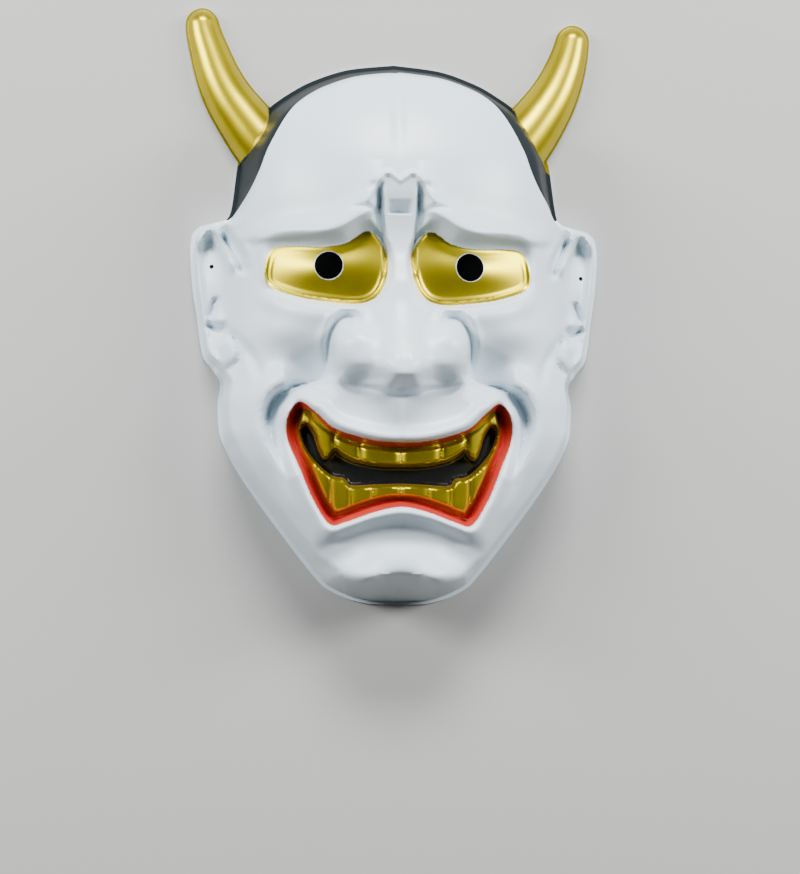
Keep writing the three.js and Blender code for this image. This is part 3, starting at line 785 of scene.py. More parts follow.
def evaluated_mesh(piece: bpy.types.Object, name: str) -> bpy.types.Mesh:
    """Turns an object with its modifiers into a plain mesh.

    Args:
        piece: The object.
        name: Name of the new mesh.

    Returns:
        The new mesh.
    """
    graph = bpy.context.evaluated_depsgraph_get()
    mesh = bpy.data.meshes.new_from_object(piece.evaluated_get(graph))
    mesh.name = name
    return mesh


def slab(name: str, flat: Array, heights: Array, faces: Array, bottom: float) -> bpy.types.Mesh:
    """Closes a height field down to a level.

    Args:
        name: Name of the mesh.
        flat: Across and up places of the points.
        heights: Their heights.
        faces: Triangles, anticlockwise from above.
        bottom: Level of the flat underside.

    Returns:
        A closed mesh that faces outwards.
    """
    count = len(flat)
    top = np.column_stack([flat, heights])
    under = np.column_stack([flat, np.full(count, bottom)])
    edges = np.concatenate([faces[:, [0, 1]], faces[:, [1, 2]], faces[:, [2, 0]]])
    keys = edges.min(axis=1) * count + edges.max(axis=1)
    _, first, uses = np.unique(keys, return_index=True, return_counts=True)
    rim = edges[first[uses == 1]]
    walls = np.concatenate([
        np.column_stack([rim[:, 0], rim[:, 0] + count, rim[:, 1]]),
        np.column_stack([rim[:, 1], rim[:, 0] + count, rim[:, 1] + count]),
    ])
    triangles = np.concatenate([faces, faces[:, ::-1] + count, walls])
    return new_mesh(name, np.concatenate([top, under]), triangles.tolist())


def triangulated(
    loops: Sequence[Array], free: Array, lines: Sequence[Array] = ()
) -> tuple[Array, Array]:
    """Fills a closed line with triangles.

    Args:
        loops: Closed lines that the triangles follow, the outermost first.
        free: Points strewn inside it.
        lines: Open lines that the triangles follow too.

    Returns:
        The flat points and the triangles, anticlockwise.
    """
    points: list[Array] = []
    edges: list[tuple[int, int]] = []
    start = 0
    for loop in loops:
        points.append(loop)
        edges += [(start + k, start + (k + 1) % len(loop)) for k in range(len(loop))]
        start += len(loop)
    for line in lines:
        points.append(line)
        edges += [(start + k, start + k + 1) for k in range(len(line) - 1)]
        start += len(line)
    flat = [Vector(point) for point in np.concatenate([*points, free])]
    verts, _, faces, *_ = delaunay_2d_cdt(flat, edges, [], 1, 1e-6, False)
    found = np.array([tuple(v) for v in verts])
    triangles = np.array(faces, int)
    middle = found[triangles].mean(axis=1)
    triangles = triangles[within(*middle.T, np.concatenate([loops[0], loops[0][:1]]))]
    a, b, c = (found[triangles[:, k]] for k in range(3))
    area = (b[:, 0] - a[:, 0]) * (c[:, 1] - a[:, 1]) - (b[:, 1] - a[:, 1]) * (c[:, 0] - a[:, 0])
    triangles[area < 0] = triangles[area < 0][:, ::-1]
    return found, triangles


def lattice(low: Array, high: Array, spacing: float) -> Array:
    """Strews points in even triangles over a rectangle.

    Args:
        low: Its lower left corner.
        high: Its upper right corner.
        spacing: Distance between neighbouring points.

    Returns:
        The points.
    """
    xs = np.arange(low[0], high[0], spacing)
    ys = np.arange(low[1], high[1], spacing * math.sqrt(0.75))
    x, y = np.meshgrid(xs, ys)
    x[1::2] += spacing / 2
    return np.column_stack([x.ravel(), y.ravel()])


# Node helpers


def add_node(
    tree: bpy.types.NodeTree, kind: str, links: dict[Any, Any] | None = None, **settings: Any
) -> bpy.types.Node:
    """Adds a node to a tree.

    Args:
        tree: Tree of a material or of Geometry Nodes.
        kind: Type name of the node.
        links: For each input, by name or number, a plain value or the output that feeds it.
        settings: Properties of the node itself.

    Returns:
        The new node.
    """
    node = tree.nodes.new(kind)
    for name, value in settings.items():
        setattr(node, name, value)
    for key, value in (links or {}).items():
        if isinstance(value, bpy.types.NodeSocket):
            tree.links.new(value, node.inputs[key])
        else:
            node.inputs[key].default_value = value
    return node


def linear(hex_colour: str) -> tuple[float, float, float, float]:
    """Turns an sRGB colour into linear values.

    Args:
        hex_colour: Six hex digits.

    Returns:
        Red, green, blue and full alpha.
    """
    parts = [int(hex_colour[k:k + 2], 16) / 255 for k in (0, 2, 4)]
    red, green, blue = (p / 12.92 if p <= 0.04045 else ((p + 0.055) / 1.055) ** 2.4 for p in parts)
    return red, green, blue, 1.0


# Horns

WELD_METRES = 1e-7
# Power by which a horn's stations crowd towards its tip
TIP_CROWDING = 1.6
# The round profile's Y points down in the sweep, and its points past this value form the flat foot
FOOT_LEVEL = 1e-5


@dataclass
class Horn:
    """Half-round hollow horn, swept along its centre line from inside the head to its tip."""

    side: Side
    line: Knots
    root_radius: float = 15.5
    tip_radius: float = 6.9
    edge_width: float = 0.8
    rise: float = 1.05
    blunt_tip: float = 0.4
    line_steps: int = 12
    stations: int = 90
    around: int = 64

    @property
    def name(self) -> str:
        """Plain name of the horn."""
        return f"{self.side.name.lower()}_horn"

    def guide(self) -> bpy.types.Object:
        """Draws the centre line.

        Returns:
            A curve object.
        """
        curve = bpy.data.curves.new(f"{self.name}_guide", "CURVE")
        curve.dimensions = "3D"
        points = traced(self.line, steps=self.line_steps) * MM
        spline = curve.splines.new("POLY")
        spline.points.add(len(points) - 1)
        for point, (x, y) in zip(spline.points, points):
            point.co = (x, y, 0.0, 1.0)
        guide = bpy.data.objects.new(curve.name, curve)
        bpy.context.scene.collection.objects.link(guide)
        return guide

    def swept(self, label: str, inset: float, foot: float, thickness: float) -> bpy.types.Mesh:
        """Sweeps one solid of the horn.

        Args:
            label: Last part of its name.
            inset: How far its edge is drawn in.
            foot: Depth of the solid below the rim plane, in radii.
            thickness: Thickness of a flat strip, or 0 for the half-round body.

        Returns:
            The closed solid as a mesh.
        """
        guide = self.guide()
        modifier = guide.modifiers.new("sweep", "NODES")
        modifier.node_group = horn_tree()
        sizes = {
            "Root radius": self.root_radius * MM,
            "Tip radius": self.tip_radius * MM,
            "Inset": inset * MM,
            "Blunt tip": self.blunt_tip * MM,
            "Rise": self.rise,
            "Foot": foot,
            "Strip thickness": thickness * MM,
            "Stations": self.stations,
            "Around": self.around,
        }
        for item in modifier.node_group.interface.items_tree:
            if item.item_type == "SOCKET" and item.in_out == "INPUT" and item.name in sizes:
                modifier[item.identifier] = sizes[item.name]
        mesh = evaluated_mesh(guide, f"{self.name}_{label}")
        remove_object(guide)
        return closed_outwards(mesh)


def closed_outwards(mesh: bpy.types.Mesh) -> bpy.types.Mesh:
    """Merges doubled points and turns all faces outwards.

    Args:
        mesh: A swept mesh.

    Returns:
        The same mesh, closed.
    """
    work = bmesh.new()
    work.from_mesh(mesh)
    bmesh.ops.remove_doubles(work, verts=work.verts, dist=WELD_METRES)
    bmesh.ops.triangulate(work, faces=work.faces)
    bmesh.ops.recalc_face_normals(work, faces=work.faces)
    if work.calc_volume(signed=True) < 0:
        bmesh.ops.reverse_faces(work, faces=work.faces)
    work.to_mesh(mesh)
    work.free()
    return mesh


def horn_tree() -> bpy.types.NodeTree:
    """Builds the sweep of a horn, once.

    Returns:
        A tree whose stations crowd towards a rounded tip. It makes a half-round body on a flat
        foot or, where it is given a strip thickness, the flat strip of the flange under it.
    """
    name = "Horn sweep"
    if name in bpy.data.node_groups:
        return bpy.data.node_groups[name]
    tree = bpy.data.node_groups.new(name, "GeometryNodeTree")
    tree.interface.new_socket("Geometry", in_out="INPUT", socket_type="NodeSocketGeometry")
    for label in ("Root radius", "Tip radius", "Inset", "Blunt tip", "Rise", "Foot", "Strip thickness"):
        tree.interface.new_socket(label, in_out="INPUT", socket_type="NodeSocketFloat")
    for label in ("Stations", "Around"):
        tree.interface.new_socket(label, in_out="INPUT", socket_type="NodeSocketInt")
    tree.interface.new_socket("Material", in_out="INPUT", socket_type="NodeSocketMaterial")
    tree.interface.new_socket("Geometry", in_out="OUTPUT", socket_type="NodeSocketGeometry")
    given = add_node(tree, "NodeGroupInput").outputs

    def maths(operation: str, *values: Any) -> bpy.types.NodeSocket:
        """Adds one step of arithmetic and returns its result."""
        return add_node(tree, "ShaderNodeMath", dict(enumerate(values)), operation=operation).outputs[0]

    guide = given["Geometry"]
    total = add_node(tree, "GeometryNodeCurveLength", {0: guide}).outputs[0]
    even = add_node(tree, "GeometryNodeResampleCurve", {"Curve": guide, "Count": given["Stations"]})
    passed = add_node(tree, "GeometryNodeSplineParameter").outputs["Factor"]
    reach = maths("SUBTRACT", total, given["Inset"])
    left = maths("MULTIPLY", reach, maths("POWER", maths("SUBTRACT", 1.0, passed), TIP_CROWDING))
    share = maths("SUBTRACT", 1.0, maths("DIVIDE", maths("ADD", left, given["Inset"]), total))
    place = add_node(tree, "GeometryNodeSampleCurve", {"Curves": guide, "Factor": share}, mode="FACTOR")
    taper = add_node(tree, "ShaderNodeMapRange", {"Value": share, "To Min": given["Root radius"],
                                                  "To Max": given["Tip radius"]})
    tip = maths("SUBTRACT", given["Tip radius"], given["Inset"])
    short = maths("SUBTRACT", 1.0, maths("MINIMUM", maths("DIVIDE", left, tip), 1.0))
    dome = maths("SQRT", maths("SUBTRACT", 1.0, maths("MULTIPLY", short, short)))
    drawn_in = maths("SUBTRACT", taper.outputs[0], given["Inset"])
    radius = maths("MAXIMUM", maths("MULTIPLY", drawn_in, dome), given["Blunt tip"])
    stations = add_node(tree, "GeometryNodeStoreNamedAttribute", {
        "Geometry": even.outputs[0], "Name": "station_radius", "Value": radius})
    moved = add_node(tree, "GeometryNodeSetPosition", {
        "Geometry": stations.outputs[0], "Position": place.outputs["Position"]})
    upright = add_node(tree, "GeometryNodeSetCurveNormal", {0: moved.outputs[0]}, mode="Z_UP")
    kept = add_node(tree, "GeometryNodeInputNamedAttribute", {"Name": "station_radius"},
                    data_type="FLOAT")

    circle = add_node(tree, "GeometryNodeCurvePrimitiveCircle", {
        "Resolution": given["Around"], "Radius": 1.0})
    position = add_node(tree, "GeometryNodeInputPosition").outputs[0]
    at = add_node(tree, "ShaderNodeSeparateXYZ", {0: position})
    arch = maths("MULTIPLY", at.outputs["Y"], given["Rise"])
    above = maths("LESS_THAN", at.outputs["Y"], FOOT_LEVEL)
    level = add_node(tree, "ShaderNodeMix", {"Factor": above, "A": given["Foot"], "B": arch},
                     data_type="FLOAT")
    profile_place = add_node(tree, "ShaderNodeCombineXYZ", {"X": at.outputs["X"], "Y": level.outputs[0]})
    profile = add_node(tree, "GeometryNodeSetPosition", {
        "Geometry": circle.outputs[0], "Position": profile_place.outputs[0]})
    body = add_node(tree, "GeometryNodeCurveToMesh", {
        "Curve": upright.outputs[0], "Profile Curve": profile.outputs[0], "Scale": kept.outputs[0],
        "Fill Caps": True})

    line = add_node(tree, "GeometryNodeCurvePrimitiveLine", {"Start": (-1, 0, 0), "End": (1, 0, 0)})
    ribbon = add_node(tree, "GeometryNodeCurveToMesh", {
        "Curve": upright.outputs[0], "Profile Curve": line.outputs[0], "Scale": kept.outputs[0]})
    raised = add_node(tree, "ShaderNodeCombineXYZ", {"Z": given["Strip thickness"]})
    strip = add_node(tree, "GeometryNodeExtrudeMesh", {
        "Mesh": ribbon.outputs[0], "Offset": raised.outputs[0], "Offset Scale": 1.0, "Individual": False})
    whole = add_node(tree, "GeometryNodeJoinGeometry")
    tree.links.new(strip.outputs[0], whole.inputs[0])
    tree.links.new(ribbon.outputs[0], whole.inputs[0])

    is_strip = add_node(tree, "FunctionNodeCompare", {0: given["Strip thickness"], 1: 0.0},
                        data_type="FLOAT", operation="GREATER_THAN")
    choice = add_node(tree, "GeometryNodeSwitch", {
        "Switch": is_strip.outputs[0], "False": body.outputs[0], "True": whole.outputs[0]},
        input_type="GEOMETRY")
    real = add_node(tree, "GeometryNodeRealizeInstances", {0: choice.outputs[0]})
    dressed = add_node(tree, "GeometryNodeSetMaterial", {
        "Geometry": real.outputs[0], "Material": given["Material"]})
    add_node(tree, "NodeGroupOutput", {0: dressed.outputs[0]})
    return tree


# Paints and finishes


@dataclass(frozen=True)
class Paint:
    """One coat of paint: how it reads to the eye and how its edge runs.

    The feather is the width over which its edge fades, and the stray how far the edge wanders, in mm.
    """

    colour: str
    shade: str
    roughness: float
    metallic: float
    feather: float
    stray: float


# Metallic lacquer with fine flake, on horns, eyes and teeth
GOLD = Paint("D2C118", "A28F0E", 0.34, 0.9, 0.22, 0.2)
# The paint's tone drifts over the width of a horn, and its edge strays by the millimetre
PAINT_TONE_MM = 26.0
PAINT_STRAY_MM = 1.1
# Nearly all of a noise texture's values lie between these two
NOISE_LOW, NOISE_HIGH = 0.3, 0.7


@dataclass(frozen=True)
class Surface:
    """What a shader is given, each a plain value or an output."""

    colour: Any
    roughness: Any
    metallic: Any = 0.0


def sprayed(
    tree: bpy.types.NodeTree, place: bpy.types.NodeSocket, under: Surface, coats: dict[str, Paint]
) -> Surface:
    """Lays coats of paint over a surface, where the mesh's own distance attributes say.

    Args:
        tree: The material's tree.
        place: Object coordinates.
        under: The surface that is painted.
        coats: Each paint by name, in the order in which it is sprayed.

    Returns:
        The painted surface.
    """
    colour, roughness, metallic = under.colour, under.roughness, under.metallic
    tone = add_node(tree, "ShaderNodeTexNoise", {
        "Vector": place, "Scale": 1 / (PAINT_TONE_MM * MM), "Detail": 3.0, "Roughness": 0.5}).outputs["Fac"]
    stray = add_node(tree, "ShaderNodeTexNoise", {
        "Vector": place, "Scale": 1 / (PAINT_STRAY_MM * MM), "Detail": 3.0,
        "Roughness": 0.65}).outputs["Fac"]
    for name, paint in coats.items():
        inside = add_node(tree, "ShaderNodeAttribute", attribute_name=f"{name}_inside").outputs["Fac"]
        wander = add_node(tree, "ShaderNodeMapRange", {
            "Value": stray, "From Min": NOISE_LOW, "From Max": NOISE_HIGH,
            "To Min": -paint.stray, "To Max": paint.stray}, clamp=False).outputs[0]
        edge = add_node(tree, "ShaderNodeMath", {0: inside, 1: wander}, operation="ADD").outputs[0]
        cover = add_node(tree, "ShaderNodeMapRange", {
            "Value": edge, "From Min": -paint.feather, "From Max": paint.feather},
            interpolation_type="SMOOTHSTEP").outputs[0]
        coat = add_node(tree, "ShaderNodeMix", {
            "Factor": tone, 6: linear(paint.colour), 7: linear(paint.shade)}, data_type="RGBA").outputs[2]
        colour = add_node(tree, "ShaderNodeMix", {"Factor": cover, 6: colour, 7: coat},
                          data_type="RGBA").outputs[2]
        roughness = add_node(tree, "ShaderNodeMix", {
            "Factor": cover, "A": roughness, "B": paint.roughness}, data_type="FLOAT").outputs[0]
        metallic = add_node(tree, "ShaderNodeMix", {
            "Factor": cover, "A": metallic, "B": paint.metallic}, data_type="FLOAT").outputs[0]
    return Surface(colour, roughness, metallic)


@dataclass(frozen=True)
class PaintedSheet:
    """Rigid PVC sheet, vacuum formed and sprayed through masks.

    The bare sheet is white with a soft gloss, so it shades softly with broad pale highlights. The
    gold is a metallic lacquer with fine flake, the red and the black are glossy enamels, and the
    edges of all three stray a little where the spray crept under the mask.
    """

    sheet: str = "DAE7EE"
    sheet_shade: str = "D0DEE7"
    sheet_roughness: float = 0.38
    roughness_spread: float = 0.05
    ior: float = 1.53
    grain_mm: float = 0.5
    grain_depth_mm: float = 0.02
    grain_strength: float = 0.06
    mottle_mm: float = 26.0
    red: Paint = Paint("D23A35", "9C1814", 0.34, 0.0, 0.22, 0.2)
    gold: Paint = GOLD
    black: Paint = Paint("1B1E20", "111314", 0.26, 0.0, 0.25, 0.30)

    def material(self) -> bpy.types.Material:
        """Builds the layered paint, laid where the mesh's own distance attributes say.

        Returns:
            The material.
        """
        material = bpy.data.materials.new("formed_pvc_sheet_sprayed")
        material.use_nodes = True
        tree = material.node_tree
        tree.nodes.clear()
        place = add_node(tree, "ShaderNodeTexCoord").outputs["Object"]
        mottle = add_node(tree, "ShaderNodeTexNoise", {
            "Vector": place, "Scale": 1 / (self.mottle_mm * MM), "Detail": 3.0, "Roughness": 0.5})
        grain = add_node(tree, "ShaderNodeTexNoise", {
            "Vector": place, "Scale": 1 / (self.grain_mm * MM), "Detail": 2.0, "Roughness": 0.6})
        colour = add_node(tree, "ShaderNodeMix", {
            "Factor": mottle.outputs["Fac"], 6: linear(self.sheet), 7: linear(self.sheet_shade)},
            data_type="RGBA").outputs[2]
        roughness = add_node(tree, "ShaderNodeMapRange", {
            "Value": grain.outputs["Fac"], "To Min": self.sheet_roughness - self.roughness_spread,
            "To Max": self.sheet_roughness + self.roughness_spread}).outputs[0]
        coats = {"red": self.red, "black": self.black, "gold": self.gold}
        painted = sprayed(tree, place, Surface(colour, roughness), coats)
        bump = add_node(tree, "ShaderNodeBump", {
            "Height": grain.outputs["Fac"], "Strength": self.grain_strength,
            "Distance": self.grain_depth_mm * MM})
        shader = add_node(tree, "ShaderNodeBsdfPrincipled", {
            "Base Color": painted.colour, "Roughness": painted.roughness, "Metallic": painted.metallic,
            "IOR": self.ior, "Normal": bump.outputs["Normal"]})
        add_node(tree, "ShaderNodeOutputMaterial", {"Surface": shader.outputs[0]})
        return material


@dataclass(frozen=True)
class BandEnamel:
    """Black enamel of the hair band, sprayed on the steep wall, with the horns' gold at its ends.

    It throws back little of the room even where the wall is seen edge on, so it stays dark there.
    """

    colour: str = "22282B"
    roughness: float = 0.42
    specular: float = 0.03
    gold: Paint = GOLD

    def material(self) -> bpy.types.Material:
        """Builds the enamel, with the gold over it.

        Returns:
            The material.
        """
        material = bpy.data.materials.new("black_band_enamel")
        material.use_nodes = True
        tree = material.node_tree
        tree.nodes.clear()
        place = add_node(tree, "ShaderNodeTexCoord").outputs["Object"]
        painted = sprayed(tree, place, Surface(linear(self.colour), self.roughness), {"gold": self.gold})
        shader = add_node(tree, "ShaderNodeBsdfPrincipled", {
            "Base Color": painted.colour, "Roughness": painted.roughness, "Metallic": painted.metallic,
            "Specular IOR Level": self.specular})
        add_node(tree, "ShaderNodeOutputMaterial", {"Surface": shader.outputs[0]})
        return material


@dataclass(frozen=True)
class BareSheet:
    """The same PVC sheet unpainted, as its back and its cut edges show: white, with a duller gloss."""

    sheet: str = "D8E4EB"
    roughness: float = 0.45
    roughness_spread: float = 0.08
    ior: float = 1.53
    grain_mm: float = 0.8
    grain_depth_mm: float = 0.03
    grain_strength: float = 0.1

    def material(self) -> bpy.types.Material:
        """Builds the plain sheet.

        Returns:
            The material.
        """
        material = bpy.data.materials.new("formed_pvc_sheet_bare")
        material.use_nodes = True
        tree = material.node_tree
        tree.nodes.clear()
        place = add_node(tree, "ShaderNodeTexCoord").outputs["Object"]
        grain = add_node(tree, "ShaderNodeTexNoise", {
            "Vector": place, "Scale": 1 / (self.grain_mm * MM), "Detail": 3.0})
        roughness = add_node(tree, "ShaderNodeMapRange", {
            "Value": grain.outputs["Fac"], "To Min": self.roughness - self.roughness_spread,
            "To Max": self.roughness + self.roughness_spread}).outputs[0]
        bump = add_node(tree, "ShaderNodeBump", {
            "Height": grain.outputs["Fac"], "Strength": self.grain_strength,
            "Distance": self.grain_depth_mm * MM})
        shader = add_node(tree, "ShaderNodeBsdfPrincipled", {
            "Base Color": linear(self.sheet), "Roughness": roughness, "IOR": self.ior,
            "Normal": bump.outputs["Normal"]})
        add_node(tree, "ShaderNodeOutputMaterial", {"Surface": shader.outputs[0]})
        return material


# The whole mask


@dataclass
class Mask:
    """The formed sheet: front and back of the face, horns, flange and pierced holes."""

    outline: Outline = field(default_factory=Outline)
    relief: FaceRelief = field(default_factory=FaceRelief)
    horns: tuple[Horn, ...] = (
        Horn(Side.LEFT, ((-53, 47.5), (-62, 56.5), (-69.7, 66.2), (-76.4, 75.7), (-81.3, 85.3),
                         (-85.3, 96.2), (-88.6, 107.2), (-89.7, 117.1))),
        Horn(Side.RIGHT, ((53, 52), (61.5, 62.5), (68.2, 72), (73, 80.2), (76.7, 88.7),
                          (79.4, 97), (81.3, 106), (82.1, 112.9))),
    )
    wall: float = 1.0
    # Probes that keep the back a wall away from the front: how far out each lies, and how far the
    # back stays below the front there, in walls
    wall_ball: tuple[tuple[float, float], ...] = ((0.0, 1.0), (0.72, 0.69), (1.0, 0.0))
    ball_turns: int = 8
    eye_hole: float = 12.3
    eye_centre: tuple[float, float] = (30.9, -5.3)
    # The paint is worn off round the cut edge of each pupil, and the gold spreads past the eye's edge
    worn_ring: float = 0.2
    eye_spread: float = 0.7
    eye_sides: int = 72
    tie_hole: float = 2.0
    tie_sides: int = 24
    tie_centres: tuple[tuple[float, float], ...] = ((-83.5, -2.1), (84.7, -5.0))
    # Spacing of the mesh's points where the carving is fine, elsewhere on the front and on the back
    fine: float = 0.72
    coarse: float = 1.35
    back: float = 2.1
    # Half width, lowest and highest place of the fine carving: eyes, frown, nose and mouth
    fine_zones: tuple[tuple[float, float, float], ...] = (
        (62, -26, 14), (26, -30, 42), (36, -66, -20), (53, -123, -62),
    )
    # Depths of the rings of points that follow the trimmed edge in front and the hollow's edge behind
    wall_depths: tuple[float, ...] = (1.85, 2.2, 2.7, 3.3, 4.0, 4.8, 5.7, 6.7, 7.8)
    back_depths: tuple[float, ...] = (0.5, 1.2, 2.0, 3.0, 4.2, 5.6)
    front_spacing: float = 0.5
    back_edge_spacing: float = 0.8
    back_spacing: float = 1.2
    deep: float = 40.0
    # Half width and height where the white of the forehead ends and the black hair band starts
    band_edge: Knots = ((95, 24), (78, 22.6), (75.6, 21), (73.2, 20.3), (65.8, 28.2), (60.4, 37.6),
                        (55.7, 49.4), (46, 65.9), (34.5, 75.4), (19, 81.4), (6, 83.9), (1.6, 83.6),
                        (0, 82.2))
    band_middle: float = -2.5
    # The band's line ends just inside the trimmed edge and keeps other points clear of it
    line_inset: float = 0.05
    line_clearance: float = 0.3
    # How far past its root radius a horn's gold reaches, and how deep in the gold the band ends
    gold_reach: float = 4.0
    gold_full: float = 1.0
    # Distances outside the gold are stored down to this
    far: float = 50.0
    # Where each horn's gold ends at its root
    gold_foot: dict[Side, Knots] = field(default_factory=lambda: {
        Side.LEFT: ((-54, 84), (-58.2, 76), (-58.5, 67.4), (-59.4, 61.4), (-62, 55.3), (-67, 49.9),
                    (-71.1, 46.3), (-78, 38)),
        Side.RIGHT: ((50, 86), (54.1, 72.5), (56, 65.1), (63, 52.7), (68.6, 47.3), (70, 44.1), (76, 36)),
    })
    # A face belongs to the painted front where it points up by more than this
    upward: float = 1e-4
    sharp_angle: float = 48.0

    def shift(self) -> Array:
        """Finds where the face's own origin lies in the frame, in mm.

        Returns:
            The shift that lays the chin's edge and the right ear's edge on the frame's box.
        """
        low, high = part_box("mask_shell")
        ear_y, ear_half = max(self.outline.side_edge, key=lambda knot: knot[1])
        ear_edge = ear_half + self.outline.middle(ear_y)
        chin_y = self.outline.chin_edge[0][1]
        return np.array([high[0] / MM - ear_edge, low[1] / MM - chin_y, 0.0])

    def detailed(self, x: Array, y: Array) -> Array:
        """Says where the carving is fine.

        Args:
            x: Across places.
            y: Up places.

        Returns:
            True for each place in a fine zone.
        """
        half = np.abs(x - self.relief.middle(y))
        zones = [(half < wide) & (y > low) & (y < high) for wide, low, high in self.fine_zones]
        return np.logical_or.reduce(zones)

    def band_line(self) -> Array:
        """Draws the lower edge of the black band.

        Returns:
            Evenly spaced points from the left ear over the head to the right one.
        """
        half, y = traced(self.band_edge).T
        line = np.concatenate([
            np.column_stack([self.band_middle - half, y]),
            np.column_stack([self.band_middle + half, y])[-2::-1],
        ])
        return spaced(line, int(passed_along(line)[-1] / self.fine))

    def front(self, loop: Array) -> bpy.types.Mesh:
        """Makes the solid under the front of the face.

        Args:
            loop: The trimmed edge.

        Returns:
            The closed solid, down to the rim plane.
        """
        flange = self.relief.flange_width
        rings = [self.outline.inset(loop, depth, self.front_spacing) for depth in self.wall_depths]
        fine = lattice(loop.min(axis=0), loop.max(axis=0), self.fine)
        fine = fine[self.detailed(*fine.T)]
        coarse = lattice(loop.min(axis=0), loop.max(axis=0), self.coarse)
        coarse = coarse[~self.detailed(*coarse.T)]
        inner = np.concatenate([fine, coarse])
        clear = -signed(inner[:, 0], inner[:, 1], loop) > self.wall_depths[-1] + self.fine
        free = np.concatenate([*rings, inner[clear]])
        line = self.band_line()
        line = line[-signed(line[:, 0], line[:, 1], loop) > self.line_inset]
        free = free[along(free[:, 0], free[:, 1], line).distance > self.line_clearance]
        crease = self.outline.inset(loop, flange, self.front_spacing)
        flat, faces = triangulated([loop[:-1], crease], free, [line])
        edge = np.maximum(-signed(flat[:, 0], flat[:, 1], loop), 0)
        heights = self.relief.height(flat[:, 0], flat[:, 1], edge)
        return slab("face_front", flat, heights, faces, 0.0)

    def hollow(self, loop: Array) -> bpy.types.Mesh:
        """Makes the solid that is cut out behind the face, a wall's thickness inside the front.

        Args:
            loop: The trimmed edge.

        Returns:
            The closed solid, down past the rim plane.
        """
        depth = self.relief.flange_width + self.wall
        inner = self.outline.inset(loop, depth, self.back_edge_spacing)
        rings = [self.outline.inset(loop, depth + step, self.back_spacing) for step in self.back_depths]
        strewn = lattice(loop.min(axis=0), loop.max(axis=0), self.back)
        last = depth + self.back_depths[-1]
        clear = -signed(strewn[:, 0], strewn[:, 1], loop) > last + self.back / 2
        flat, faces = triangulated([inner], np.concatenate([*rings, strewn[clear]]))
        heights = np.full(len(flat), np.inf)
        for reach, drop in self.wall_ball:
            turns = 1 if reach == 0 else self.ball_turns
            for turn in range(turns):
                angle = 2 * math.pi * turn / turns
                x = flat[:, 0] + reach * self.wall * math.cos(angle)
                y = flat[:, 1] + reach * self.wall * math.sin(angle)
                edge = np.maximum(-signed(x, y, loop), 0)
                level = self.relief.height(x, y, edge) - drop * self.wall
                heights = np.minimum(heights, level)
        return slab("face_hollow", flat, heights, faces, -self.deep)

    def drill(self, diameter: float, centre: tuple[float, float], sides: int) -> bpy.types.Mesh:
        """Makes a round cutter that runs right through the sheet.

        Args:
            diameter: Its diameter.
            centre: Across and up place of its middle.
            sides: How many flats it has round it.

        Returns:
            The closed cutter.
        """
        turns = 2 * math.pi * np.arange(sides) / sides
        flat = np.array(centre) + diameter / 2 * np.column_stack([np.cos(turns), np.sin(turns)])
        faces = np.array([(0, k, k + 1) for k in range(1, sides - 1)])
        return slab("drill", flat, np.full(sides, 3 * self.deep), faces, -self.deep)

    def solid(self) -> bpy.types.Mesh:
        """Joins the front forms and cuts the back forms and the holes.

        Returns:
            The whole sheet as one closed mesh, in the face's own place.
        """
        loop = self.outline.loop()
        base = new_object(self.front(loop))
        tools: list[tuple[str, bpy.types.Mesh]] = []
        for horn in self.horns:
            tools.append(("UNION", horn.swept("flange", 0.0, 0.0, self.relief.flange_thickness)))
            tools.append(("UNION", horn.swept("body", horn.edge_width, 0.0, 0.0)))
        tools.append(("DIFFERENCE", self.hollow(loop)))
        for horn in self.horns:
            tools.append(("DIFFERENCE", horn.swept("hollow", horn.edge_width + self.wall, 1.0, 0.0)))
        middle = float(self.relief.middle(self.eye_centre[1]))
        for side in Side:
            centre = (middle + side.value * self.eye_centre[0], self.eye_centre[1])
            tools.append(("DIFFERENCE", self.drill(self.eye_hole, centre, self.eye_sides)))
        for centre in self.tie_centres:
            tools.append(("DIFFERENCE", self.drill(self.tie_hole, centre, self.tie_sides)))
        helpers = [new_object(mesh) for _, mesh in tools]
        for helper, (operation, _) in zip(helpers, tools):
            modifier = base.modifiers.new(helper.name, "BOOLEAN")
            modifier.operation = operation
            modifier.solver = "MANIFOLD"
            modifier.object = helper
        mesh = evaluated_mesh(base, "painted_mask")
        for helper in [base, *helpers]:
            remove_object(helper)
        return mesh

    def gold_horns(self, x: Array, y: Array) -> Array:
        """Measures how far places lie inside the horns' gold.

        Args:
            x: Across places.
            y: Up places.

        Returns:
            The distance inside, negative outside it.
        """
        inside = np.full(x.shape, -self.far)
        for horn in self.horns:
            foot = along(x, y, traced(self.gold_foot[horn.side]))
            outer = foot.side * foot.distance * horn.side.value
            reach = along(x, y, traced(horn.line)).distance
            inside = np.maximum(inside, np.minimum(outer, horn.root_radius + self.gold_reach - reach))
        return inside

